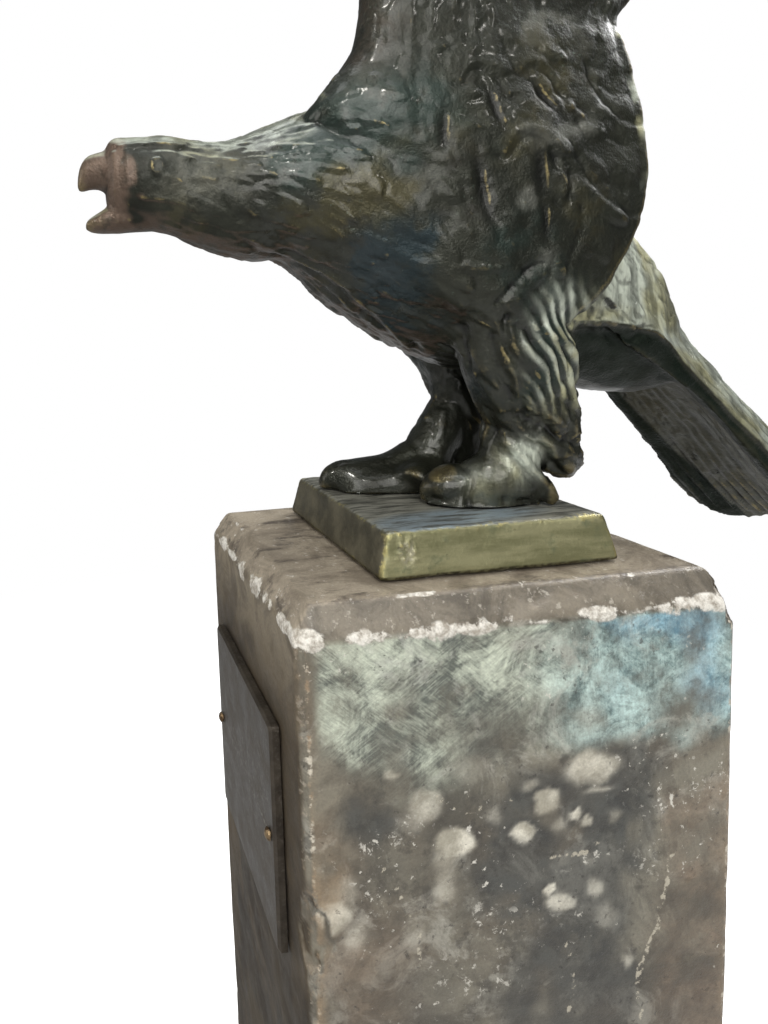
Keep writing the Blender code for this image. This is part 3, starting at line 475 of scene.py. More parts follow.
def plumage(tree):
    """Every feather, as (root, direction, outward, length, half width, height, kind)."""
    found = []

    def plant(start, ray, along, length, wide, high, kind, back=0.0):
        """Roots a feather where a ray lands on the bird, or a distance back from there."""
        at, out = tree.ray_cast(Vector(start), Vector(ray))[:2]
        if at is not None:
            found.append((at - along * back, along, out, length, wide, high, kind))

    for side, high in ((1, 0.55), (-1, 0.75)):
        over, ray = TAIL_OVER * side * 40.0, -TAIL_OVER * side
        for k in range(13):
            u = -1.0 + 2.0 * (k + 0.5) / 13
            along = TAIL_DOWN + Vector((0.11 * u + 0.03 * rnd(k * 3.7), 0, 0))
            size = (80.0 - 9.0 * u * u, 1.75, high * (1 + 0.3 * rnd(k * 1.3)))
            start = Vector((15.0 * u, *TAIL_START)) + TAIL_DOWN * 36.0 + over
            plant(start, ray, along, *size, "flight", 26.0)
        for row in range(4):
            for k in range(8):
                u = -1.0 + 2.0 * (k + 0.5 * (row % 2) + 0.25) / 8
                start = Vector((12.5 * u, *TAIL_START)) + TAIL_DOWN * (8.0 * row + 3.0 * rnd(k + row)) + over
                along = TAIL_DOWN + Vector((0.12 * u + 0.1 * rnd(k * 2.1 + row), 0, 0))
                plant(start, ray, along, 22.0 + 5.0 * rnd(k * 1.9), 1.7, 0.55, "hackle")

    ys, zs, _, _, slopes = zip(*SPINE)

    def ring(y, count, length, wide, high, kind, spread, seed0, twist=0.0, underside=False):
        """A ring of feathers around the body at y, lying back along it."""
        z, slope = float(np.interp(y, ys, zs)), math.radians(float(np.interp(y, ys, slopes)))
        for k in range(count):
            seed = seed0 + k * 3.3 + y * 1.7
            t = 2 * math.pi * (k + 0.5 * (seed0 % 2)) / count + rnd(seed) * spread
            if underside and math.sin(t) >= -0.62:
                continue
            ray = Vector((math.cos(t), math.sin(t) * math.sin(slope), math.sin(t) * math.cos(slope)))
            centre = Vector((0.0, y + rnd(seed + 5) * 2.4, z))
            fall = slope + twist * (1.0 - abs(math.sin(t)))
            along = Vector((rnd(seed + 9) * 0.28, math.cos(fall), -math.sin(fall) + rnd(seed + 3) * 0.2))
            plant(
                centre + ray * 60.0, -ray, along, length * (1 + 0.35 * rnd(seed + 2)),
                wide * (1 + 0.3 * rnd(seed + 4)), high * (1 + 0.5 * rnd(seed + 7)), kind,
            )

    for row in range(8):
        ring(46.0 - 4.6 * row, 12, 16.0, 2.8, 0.6, "hackle", 0.3, row, 0.3)
    for row in range(11):
        ring(18.0 - 4.3 * row, 18, 11.5, 2.6, 0.42, "leaf", 0.3, row + 40, 0.7)
    for row in range(15):
        y = -30.0 - 3.1 * row
        high = 0.3 + 0.12 * max(0.0, (y + 70) / 40.0)
        ring(y, int(14 + (y + 76) * 0.16), 9.0, 1.3, high, "hackle", 0.4, row + 80, 0.5)
    for row in range(9):
        ring(4.0 - 7.0 * row, 26, 24.0, 1.5, 0.45, "hackle", 0.2, row + 120, underside=True)

    for stations, count, high_z, low_z, length, high, lean, seed0 in (
        (THIGH_LEFT, 12, 60.0, 30.0, 26.0, 1.35, 0.5, 300.0),
        (THIGH_RIGHT, 11, 62.0, 34.0, 18.0, 0.85, 0.32, 400.0),
    ):
        leg_x, leg_y, leg_z, _, _ = zip(*stations[::-1])
        for row in range(6):
            z = high_z + (low_z - high_z) * row / 5
            x, y = float(np.interp(z, leg_z, leg_x)), float(np.interp(z, leg_z, leg_y))
            for k in range(count):
                seed = seed0 + row * 17.3 + k * 5.1
                t = 2 * math.pi * (k + 0.5 * (row % 2)) / count + rnd(seed) * 0.3
                ray = Vector((math.cos(t), math.sin(t), 0.0))
                along = Vector((0.0, lean + 0.02 * (z - 42.0) + rnd(seed + 4) * 0.22, -1.0))
                plant(
                    Vector((x, y, z + rnd(seed + 3) * 3.5)) + ray * 26.0, -ray, along,
                    length * (1 + 0.3 * rnd(seed + 6)), 1.8 * (1 + 0.3 * rnd(seed + 5)),
                    high * (1 + 0.4 * rnd(seed + 8)), "hackle",
                )

    for side in (1, -1):
        def put(y, z, lean, length, wide, high, kind, face=1):
            """A feather on the wing or the flank, leaning back from upright by some degrees."""
            shift = SETBACK[side] * (0.15 if z < 100 else 1.0)
            along = Vector((0.0, math.sin(math.radians(lean)), math.cos(math.radians(lean))))
            start = (side * face * 60.0 + side * 16.0, y + shift, z)
            plant(start, (-side * face, 0, 0), along, length, wide, high, kind)

        for face in (1, -1):
            for k in range(15):
                f = k / 14
                z = 132.0 + 16.0 * math.sin(math.pi * f)
                put(-9.0 + 56.0 * f, z, 2.0 + 24.0 * f, 118.0 - 34.0 * f * f, 2.6, 0.85, "flight", face)
            for k in range(13):
                f = k / 12
                z = 118.0 + 10.0 * math.sin(math.pi * f)
                put(-13.0 + 56.0 * f, z, 4 + 26 * f, 32.0, 2.8, 0.6, "flight", face)
            for row in range(3):
                for k in range(10):
                    f = (k + 0.5 * (row % 2)) / 10
                    z = 106.0 + 7.0 * row + 8.0 * math.sin(math.pi * f)
                    put(-16.0 + 58.0 * f, z, 6 + 26 * f, 16.0, 3.0, 0.38, "leaf", face)
        for row in range(6):
            for k in range(9):
                seed = row * 13.1 + k * 2.9 + side
                y = -20.0 + 7.0 * k + 3.5 * (row % 2) + rnd(seed) * 3.0
                z, lean = 66.0 + 8.4 * row + rnd(seed + 1) * 3.0, -30.0 + 6.0 * k + rnd(seed + 2) * 50.0
                put(y, z, lean, 11.0 + 4.0 * rnd(seed + 4), 3.0, 0.2 + 0.1 * rnd(seed + 3), "leaf")
        for oval in OVALS:
            put(*oval, "oval")
        plant((side * 40.0, *EYE), (-side, 0, 0), Vector((0, 0, 1)), 4.4, 1.7, 0.8, "ring", 2.1)
    return found


EYE = (-71.0, 101.7)
# Bold feathers behind the shoulder: (y, z, lean, length, half width, height).
OVALS = [
    (-6.4, 98.6, 0, 10.8, 2.3, 1.5), (6.9, 101.6, -13, 14, 2.1, 1.8), (21.2, 105.4, -33, 12.4, 2.3, 1.6),
    (2.8, 81.4, -8, 19, 2.4, 1.8), (15.2, 86, -1, 15.6, 3.3, 1.6), (15.9, 76.6, -4, 10.4, 2, 1.2),
]
# Ridges drawn on both flanks: (name, points as (y, z), width, height, depth of the cut below).
FLANK_LINES = [
    (
        "rim",
        [
            (40.4, 125), (41.2, 118), (42, 110), (42.4, 101), (42.2, 92.5), (40.6, 84.6), (37.6, 77.2),
            (33.6, 70), (29, 64.4), (24.4, 60.2),
        ],
        1.1, 0.45, 0,
    ),
    ("covert edge", [(26.6, 57.6), (36.7, 57.3), (44.6, 55.6)], 1.6, 0.6, 0.9),
    (
        "strip",
        [(-48.1, 83), (-39, 79.6), (-32, 76), (-25.8, 71.2), (-19.5, 65.2), (-11.8, 58.6), (-5.3, 53.6)], 1,
        0.6, 0.5,
    ),
    (
        "strip fold", [(-46, 81.4), (-38, 77.6), (-31.6, 73.6), (-25, 68.2), (-18, 61.6), (-11, 56)], 0.8,
        0.5, 0.4,
    ),
    (
        "tail edge",
        [(44.6, 55.6), (52, 53.6), (57, 50), (64, 42.8), (73.7, 32.8), (84.5, 21), (95, 8.9), (102, 1)],
        0.6, 0.42, 0,
    ),
    ("toe crease", [(4.6, 21.6), (4.4, 18.6), (3.4, 15.4), (3.2, 13)], 0.9, -0.9, 0),
    ("foot ridge", [(9.6, 25.4), (7, 20.6), (4.6, 16), (1, 12.8)], 1.1, 0.4, 0),
    ("toe pit", [(10.6, 14.6), (11, 13.4)], 0.8, -0.9, 0),
    ("ankle ridge", [(12.4, 28), (16.4, 22.6), (20.4, 18), (22.6, 13.4)], 1, 0.8, 0.5),
    ("ankle fold", [(15.6, 30.4), (20.6, 28.6), (23.6, 24.6)], 0.9, 0.6, 0.5),
    ("thigh split", [(0.6, 58), (2.3, 52.3), (5, 44), (8.6, 36)], 1.7, -1.4, 0),
    ("jaw", [(-75, 94.9), (-69.5, 93.8), (-65.9, 92.7), (-63, 91.2)], 0.6, 0.4, 0.2),
    ("cheek front", [(-81, 106.3), (-81.3, 99), (-81, 90)], 0.8, 0.35, 0),
    ("cheek rear", [(-78, 106.2), (-78.2, 100), (-78.1, 90.4)], 0.8, 0.4, 0),
    ("crown", [(-81.2, 107.6), (-74.8, 107.2), (-68, 106.4), (-60, 104.8)], 0.9, -0.3, 0),
    ("arch", [(-2.6, 114.6), (-0.6, 117.6), (3.7, 118.3), (7.4, 115.4), (8.6, 111)], 0.7, 0.18, 0.35),
    ("arch", [(6, 97.6), (9.2, 101.6), (14.3, 102.2), (18.8, 98.6), (20, 92.1), (19, 86)], 0.8, 0.22, 0.45),
    ("arch", [(12, 117), (16.4, 118.6), (21.4, 114), (24, 107.6)], 0.8, 0.2, 0.3),
    ("fold", [(4.6, 63.8), (9.2, 69.2), (12.4, 71.8), (14.4, 72)], 0.8, -1, 0),
    ("fold lip", [(8.4, 63.8), (11.6, 67.2), (14.4, 69.4)], 0.7, 0.35, 0),
    ("fold", [(13.6, 66), (15.4, 69), (16.6, 73)], 0.6, -0.5, 0),
    *((
        "lock", [
            (5.6 + 2.5 * k, 61.0 - 1.2 * k), (6.6 + 2.8 * k, 54.0 - 0.7 * k),
            (10.4 + 2.6 * k, 46.0 - 0.9 * k), (12.6 + 2.3 * k, 37.0 - 1.2 * k),
        ], 0.85, 0.45, 0.75,
    ) for k in range(8)),
    ("long fold", [(20, 66), (21, 72), (23.6, 78), (24, 84)], 0.8, -0.4, 0),
    ("long fold", [(24, 96), (27.6, 89), (33, 84), (40, 82)], 0.9, -0.4, 0),
    ("long fold", [(29, 118), (31.6, 110), (36.6, 104.6), (42, 103)], 0.8, -0.45, 0),
]

def line_relief(co, no, tree):
    """Raised height, worn crests, and how near a point is to the wing's rim."""
    raised, worn, rim = np.zeros((3, len(co)))
    for name, line, wide, high, dig in FLANK_LINES:
        for side in (1, -1):
            points = []
            for y, z in densify(line, 3):
                if name == "rim":
                    y += wing_shift(z, side)
                # a point past the edge is moved in until it lands on the near side
                for inward in range(10):
                    start = Vector((side * 60.0, y - 0.4 * inward, z))
                    hit = tree.ray_cast(start, Vector((-side, 0, 0)))[0]
                    if hit is not None and hit.x * side > 4.0:
                        points.append(np.array(hit))
                        break
            if len(points) < 2:
                continue
            pts = np.array(points)
            near = np.flatnonzero(((co > pts.min(0) - 5 * wide) & (co < pts.max(0) + 5 * wide)).all(1))
            dist, under = np.full(len(near), 1e9), np.zeros(len(near))
            for a, b in zip(pts[:-1], pts[1:]):
                away = nearest_on(co[near], a, b)
                d = np.linalg.norm(away, axis=1)
                under = np.where(d < dist, -away[:, 2], under)
                dist = np.minimum(d, dist)
            facing = smooth01(no[near, 0] * side / 0.3 + 0.5)
            raised[near] += facing * high * bell(dist, wide)
            raised[near] -= facing * dig * bell(dist - 2.1 * wide, 1.2 * wide) * (under > 0)
            if name == "rim":
                raise_to(rim, near, step(dist, 4.0, -2.5))
            if high > 0.0:
                gold = min(1.0, (2.2 if name in ("rim", "tail edge") else 1.0) * high)
                raise_to(worn, near, facing * bell(dist, 0.6 * wide) * gold)
    return raised, worn, rim


# ------------------------------------------------------------------ the bird

def build_bird():
    mesh = voxel_skin(united(bird_masses()), BIRD_VOXEL, 5)
    pairs = edge_pairs(mesh)
    co, no = arrays(mesh)
    # the joins at the rump, under the wings and between the toes are relaxed most
    flank = np.abs(co) * [1, 0, 0] + co * [0, 1, 1]
    rump = spot(co, (0, 57, 54), 15, (1.5, 1, 1)) + spots(co, *((0.7, x, 66, 37, 8) for x in (-8, 0, 8)))
    under_wing = ((4, 62), (-5, 66), (-12, 72), (-17, 80), (-20, 90), (12, 60))
    wing_foot = spots(flank, *((1, 22, y, z, 8) for y, z in under_wing))
    far_toes, near_toes = (1, -7, (-18, -11, -4), 6), (0.6, 15, (4, 11, 18), 5)
    toes = spots(co, *((s, x, y, 13, r) for s, x, along, r in (far_toes, near_toes) for y in along))
    co, no = moved(mesh, relax(co, pairs, 45, 0.6, np.clip(1.6 * rump + 1.3 * wing_foot + toes, 0, 1)))
    faces = [tuple(face.vertices) for face in mesh.polygons]
    tree = BVHTree.FromPolygons([v.co.copy() for v in mesh.vertices], faces)
    lift, dug, quill, pit = stamp_feathers(co, no, plumage(tree))
    lines, worn, rim = line_relief(co, no, tree)

    x, y, z = np.abs(co[:, 0]), co[:, 1], co[:, 2]
    feet = step(z, 31.0, -6.0) * (y < 24.0 + 0.4 * (z - 24.0))
    plain = np.maximum(np.maximum(step(y, -64.0, -12.0), feet), 0.9 * rim)
    eye = (np.abs(y - EYE[0]) < 3.0) & (np.abs(z - EYE[1]) < 4.0)
    lower_flank = step(y, 30.0, 4.0) * step(z, 56.0, -3.0) * step(y, 70.0, -5.0) * (z > 34)
    thigh = spot(np.stack([x, y, z], 1), (23, 21, 49), 13, (0.6, 1.2, 0.9))
    lift *= np.where(eye, 1.0, 1.0 - 0.9 * plain) * (1.0 - 0.9 * lower_flank) * (1.0 - 0.75 * thigh)
    dug *= (1.0 - 0.95 * plain) * (1.0 - 0.95 * lower_flank) * (1.0 - 0.6 * thigh)
    sweep = (y + 0.5 * (z - 45.0) + 3.2 * vnoise(co, 13, 61, 2)) / 3.3
    lock = smooth01(0.5 + 0.5 * np.cos(2.0 * math.pi * sweep) + 0.25 * vnoise(co, 5, 62))
    hand = 0.34 * vnoise(co, 9, 11) + 0.13 * vnoise(co, 3.6, 12) + 0.05 * vnoise(co, 1.6, 13)
    swirl = co + 3.0 * vnoise3(co, 9, 31)
    squiggle = np.clip((0.38 - np.abs(vnoise(swirl, 3.4, 5))) / 0.38, 0.0, 1.0) ** 2
    on_wing = step(x, 17.0, 4.0) * step(z, 60.0, 8.0) * step(y, -22.0, 8.0)
    squiggle *= smooth01(vnoise(co, 14, 41) * 1.4) * (1.0 - 0.75 * on_wing)
    raised = lift - dug + lines + hand * (1.0 - 0.2 * plain) + 0.16 * squiggle * (1.0 - 0.8 * plain)
    raised += 0.6 * (lock - 0.5) * thigh
    co = relax(co + no * raised[:, None], pairs, 1, 0.3)
    # the soles end level, just above the plinth
    sole = FOOT + 0.35
    co[(co[:, 2] < sole) & (co[:, 1] < 40.0), 2] = sole
    co, no = moved(mesh, co)

    knuckle = 1.4 * spot(co, (11.0, -0.8, 20.6), 4.0) * step(no[:, 2], 0.2, 0.4)
    set_attrs(
        mesh, pit=pit, quill=np.maximum(np.maximum(quill, worn), knuckle), fine=proud(co, no, pairs, 3),
        ridge=proud(co, no, pairs, 30),
        matte=np.maximum(step(co[:, 1], -44.0, -10.0), 0.75 * on_wing),
    )
    paint_bird(mesh, co, no, rim, 1.0 - thigh * (1.0 - lock))
    mesh.transform(Matrix.Translation((0, 0, TOP)))
    show("bird_bronze", mesh, bird_material(), "patinated_bronze", "bird_body", "wing_left", "wing_right")


def paint_bird(mesh, p, no, rim, strokes):
    """Strengths of the patina's colours, of painted light and of painted shade; the same on both sides unless
    x is used with its sign.
    """
    y, z = p[:, 1], p[:, 2]
    off_axis, up = np.abs(p[:, 0]), no[:, 2]
    near = p + 5.0 * vnoise3(p, 11, 51, 2)
    near[:, 0] = np.abs(near[:, 0])
    teal = spots(
        near, (0.9, 16, -26, 107, 13), (0.8, 17, -40, 101, 10), (0.7, 22, -11, 110, 10),
        (0.6, 24, 20, 48, 12), (0.5, 24, 18, 62, 12), (0.5, 27, 6, 74, 9),
    ) + 0.45 * np.clip(vnoise(p, 22, 61, 3), 0, 1)
    blue = spots(
        near, (0.95, 23, -18, 76, 10), (0.9, 20, -20, 65, 9), (0.8, 17, -13, 56, 8), (0.5, 14, 8, 46, 10),
    )
    olive = spots(
        near, (0.95, 20, -32, 91, 9), (0.8, 22, -23, 94, 8), (0.8, 20, -38, 81, 9), (0.6, 25, 20, 118, 12),
        (0.5, 14, -60, 100, 14),
    ) + 0.6 * np.clip(vnoise(p, 15, 71, 3), 0, 1)
    # grey patina, partly painted sheen: the small spots beside the wing's hollows
    grey = spots(
        near, (1.1, 25, 12, 103, 5), (0.9, 24, 20, 125, 6), (0.8, 22, 30, 85, 3.5), (0.6, 12, -62, 99, 17),
        (0.8, 24, 22, 102, 4.5), (0.9, 26, 8.6, 88, 3.6), (0.6, 24, 12, 66, 4.5), (0.7, 25, 19, 72, 4),
    ) + 0.4 * np.clip(vnoise(p, 12, 91, 2), 0, 1) * step(off_axis, 18, 4) * step(z, 60, 10)
    brown = smooth01((-75.0 - y) / 5.0 + 0.6 * vnoise(p, 4, 81, 2))
    brown = np.maximum(brown, 0.55 * step(up, -0.6, -0.2) * (y < 0) * (z > 44))
    brown = np.maximum(brown, 0.4 * spot(near, (14, -24, 128), 14))

    # painted light on the rump and the tail above a line along their side, painted shade just under it
    edge_y = (20, 37, 45, 52, 57, 61, 68, 73, 85, 120)
    edge_z = np.interp(y, edge_y, (58, 57.2, 55.8, 53.8, 50.4, 45, 38, 32.2, 19.3, -15))
    rim_y = np.interp(z, (57, 60.5, 67, 75.5, 84, 93.5), (21, 27.8, 33.6, 37.8, 41.8, 43.3))
    rear = step(y, 22, 5) * (z < 92) * ((y > rim_y) | (off_axis < 18))
    slope = (no[:, 1] + up) * 0.71
    # painted light: the tail's downward-facing underside made lighter grey and olive
    painted_light_under_tail = step(slope, -0.3, -0.3) * step(y, 60, 6)
    pale = rear * step(slope, -0.45, 0.35) * step(z, edge_z - 0.4, 1.2) * (1.0 - 0.4 * step(y, 52, 10))
    # painted highlights on the ankle, the thigh's locks and the wing's rear rim, and painted light where the
    # head and neck face up
    shin = spots(p, (1.15, 18.5, 16.5, 24.8, 5.5), (0.5, 14, 6, 18, 5), (0.4, 15, 12, 15, 6))
    thigh = 1.5 * spot(p, (24, 22, 52), 12, (0.6, 1.2, 0.85)) * strokes ** 2
    thigh *= 0.8 + 0.4 * vnoise(p, 6, 95, 2)
    band = step(rim, 0.86, 0.14) * step(z, 84, 8) * np.clip(0.5 + 0.7 * vnoise(p, (6, 6, 4), 96, 2), 0.0, 0.9)
    for more in (shin, thigh, band, 0.52 * step(up, 0.4, 0.3) * (y < -30)):
        pale = np.maximum(pale, more)
    below = (edge_z - z) * 0.71
    strip = step(below, 0.5, 0.6) * step(below, 5.0, -0.8) * step(y, 54, 5) * (off_axis > 10)
    flank = step(y, 29, 4) * step(below, 0.3, 0.8) * step(y, 66, -8) * (z > 36) * (off_axis > 7)
    set_attrs(
        mesh, shade=np.maximum(strip, 0.85 * flank), teal=teal, blue=blue, brown=brown, pale=pale,
        olive=olive + 0.45 * painted_light_under_tail, grey=grey + 0.8 * painted_light_under_tail,
    )


# ------------------------------------------------------------------ materials

def linear(colour):
    """Linear RGBA of a colour given as three 0-255 screen values."""
    parts = [v / 255.0 for v in colour]
    return (*(v / 12.92 if v <= 0.04045 else ((v + 0.055) / 1.055) ** 2.4 for v in parts), 1.0)


class Signal:
    """A value in a node tree. Arithmetic on signals makes the nodes that work it out."""

    def __init__(self, nodes, socket):
        self.nodes, self.socket = nodes, socket

    def __add__(self, other):
        return self.nodes.math("ADD", self, other)

    def __sub__(self, other):
        return self.nodes.math("SUBTRACT", self, other)

    def __rsub__(self, other):
        return self.nodes.math("SUBTRACT", other, self)

    def __mul__(self, other):
        return self.nodes.math("MULTIPLY", self, other)

    def max(self, other):
        return self.nodes.math("MAXIMUM", self, other)

    def clamped(self):
        sum_node = self.nodes.math("ADD", self, 0.0)
        sum_node.socket.node.use_clamp = True
        return sum_node

    def ramp(self, low, high, out_low=0.0, out_high=1.0):
        """Goes smoothly from out_low to out_high as the value goes from low to high."""
        return self.nodes.node("MapRange", "Result", interpolation_type="SMOOTHSTEP", inputs={
            "Value": self, "From Min": low, "From Max": high, "To Min": out_low, "To Max": out_high,
        })


class Nodes:
    """A material's node tree, with a call for each kind of node."""

    def __init__(self, name):
        self.mat = bpy.data.materials.new(name)
        self.mat.use_nodes = True
        self.tree = self.mat.node_tree
        self.shader = self.tree.nodes["Principled BSDF"]
        self.coord = self.node("TexCoord", "Object")

    def link(self, value, socket):
        if isinstance(value, Signal):
            self.tree.links.new(value.socket, socket)
        elif value is not None:
            socket.default_value = value

    def node(self, kind, output=0, inputs=(), **settings):
        node = self.tree.nodes.new("ShaderNode" + kind)
        for key, value in settings.items():
            setattr(node, key, value)
        for key, value in dict(inputs).items():
            self.link(value, node.inputs[key])
        return Signal(self, node.outputs[output])

    def attr(self, name):
        return self.node("Attribute", "Fac", attribute_name=name)

    def mapped(self, scale, rotate=(0, 0, 0), source=None):
        inputs = {"Vector": source or self.coord, "Scale": scale, "Rotation": rotate}
        return self.node("Mapping", "Vector", inputs)

    def combed(self, degrees, stretch):
        """Coordinates turned about X, then stretched along Y, for slanting streaks on an upright face."""
        turned = self.mapped((1, 1, 1), (math.radians(degrees), 0, 0))
        return self.mapped((1, 1 / stretch, 1), source=turned)

    def noise(self, scale, detail, rough=0.55, vector=None, distortion=0.0):
        return self.node("TexNoise", "Fac", {
            "Vector": vector or self.coord, "Scale": scale, "Detail": detail, "Roughness": rough,
            "Distortion": distortion,
        })

    def math(self, operation, a, b):
        return self.node("Math", 0, {0: a, 1: b}, operation=operation)

    def mix(self, factor, a, b):
        """Colour a, giving way to b; a colour is a signal or three 0-255 screen values."""
        a, b = (linear(v) if isinstance(v, tuple) else v for v in (a, b))
        return self.node("Mix", 2, {0: factor, 6: a, 7: b}, data_type="RGBA")

    def bump(self, height, strength, distance):
        return self.node("Bump", "Normal", {"Strength": strength, "Distance": distance, "Height": height})

    def shade(self, colour, metallic, rough, normal=None, specular=None, coat=None):
        values = {
            "Base Color": colour, "Metallic": metallic, "Roughness": rough, "Normal": normal,
            "Specular IOR Level": specular, "Coat Weight": coat,
        }
        for key, value in values.items():
            self.link(value, self.shader.inputs[key])
        self.shader.inputs["Coat Roughness"].default_value = 0.14
        return self.mat


def bird_material():
    """Dark green-brown bronze with patches of patina, painted silvery light and highlights, and gold on what
    is rubbed.
    """
    n = Nodes("patinated_bronze_look")
    big, mid, small = n.noise(60, 3), n.noise(210, 5, 0.6), n.noise(1100, 4, 0.6)
    ridge, fine, pale, shade, pit, matte = map(n.attr, ("ridge", "fine", "pale", "shade", "pit", "matte"))
    base = n.mix(big.ramp(0.35, 0.65), (33, 35, 27), (44, 46, 37))
    base = n.mix(mid.ramp(0.45, 0.75), base, (29, 29, 20))
    # patina patches; the grey also holds painted sheen beside the wing's hollows, and the grey and olive hold
    # painted light under the tail
    for name, colour, low, high, strength in (
        ("grey", (98, 99, 92), 0.25, 0.75, 0.8), ("teal", (35, 50, 45), 0.15, 0.8, 0.75),
        ("blue", (30, 46, 52), 0.2, 0.8, 0.8), ("olive", (66, 62, 38), 0.2, 0.85, 0.75),
        ("brown", (104, 87, 75), 0.1, 0.9, 0.85),
    ):
        patch = (n.attr(name) * mid.ramp(0.28, 0.62, 0.45, 1.15)).ramp(low, high)
        base = n.mix(patch * strength, base, colour)
    base = n.mix(ridge.ramp(-0.05, -0.6) * 0.85, base, (12, 14, 11))
    streak = n.noise(300, 4, 0.6, n.mapped((1, 1, 0.25))).ramp(0.35, 0.62, 0.45, 1)
    # painted light: a streaked silvery colour on the faces, rims and locks marked pale
    painted_silver_light = pale.ramp(0.1, 0.9) * streak * fine.ramp(-0.07, 0.02, 0.55, 1)
    base = n.mix(painted_silver_light, base, n.mix(big.ramp(0.4, 0.6), (204, 211, 196), (172, 170, 134)))
    base = n.mix(shade * 0.9, base, (20, 30, 23))
    base = n.mix(pit * 0.85, base, (11, 12, 9))
    speck = small.ramp(0.62, 0.74) * n.noise(80, 2).ramp(0.5, 0.65)
    base = n.mix(speck * 0.35, base, (100, 116, 106))
    wear = (ridge + small * 0.5 - 0.25).ramp(0.35, 0.9) * 0.5
    crest = (fine + mid * 0.1 - 0.05).ramp(0.07, 0.17) * mid.ramp(0.5, 0.66)
    quill = n.attr("quill").ramp(0.5, 1) * mid.ramp(0.4, 0.6, 0.3, 0.9)
    worn = wear.max(crest).max(quill).clamped() * (1 - shade * 0.85)
    gold = n.mix(pale.ramp(0.1, 0.5), (150, 137, 98), (188, 190, 170))
    colour = n.mix(worn * 0.75, base, gold)
    metal = worn.ramp(0, 1, 0.55, 0.95) - painted_silver_light * 0.35
    rough = mid.ramp(0.3, 0.7, 0.27, 0.43) + matte * 0.1 - worn * 0.1
    normal = n.bump(n.noise(420, 5, 0.65) + n.noise(1500, 3, 0.6) * 0.35, 0.55, 0.0008)
    coat = mid.ramp(0.35, 0.7, 0.55, 0.15) * (1 - pit.max(shade).max(matte) * 0.8)
    return n.shade(colour, metal, rough, normal, 0.5 - shade * 0.35, coat)


# ------------------------------------------------------------------ stone pillar

def grid_block(half, low, high, counts):
    """Vertices and faces of a block whose six sides are cut into small squares."""
    start, size = (-half[0], -half[1], low), (2 * half[0], 2 * half[1], high - low)
    verts, faces, index = [], [], {}

    def vert(key):
        if key not in index:
            index[key] = len(verts)
            verts.append([start[k] + size[k] * key[k] / counts[k] for k in range(3)])
        return index[key]

    for axis in range(3):
        u, v = (axis + 1) % 3, (axis + 2) % 3
        for side in (0, counts[axis]):
            for i in range(counts[u]):
                for j in range(counts[v]):
                    corners = []
                    for di, dj in ((0, 0), (1, 0), (1, 1), (0, 1)):
                        key = {axis: side, u: i + di, v: j + dj}
                        corners.append(vert((key[0], key[1], key[2])))
                    faces.append(corners if side else corners[::-1])
    return verts, faces


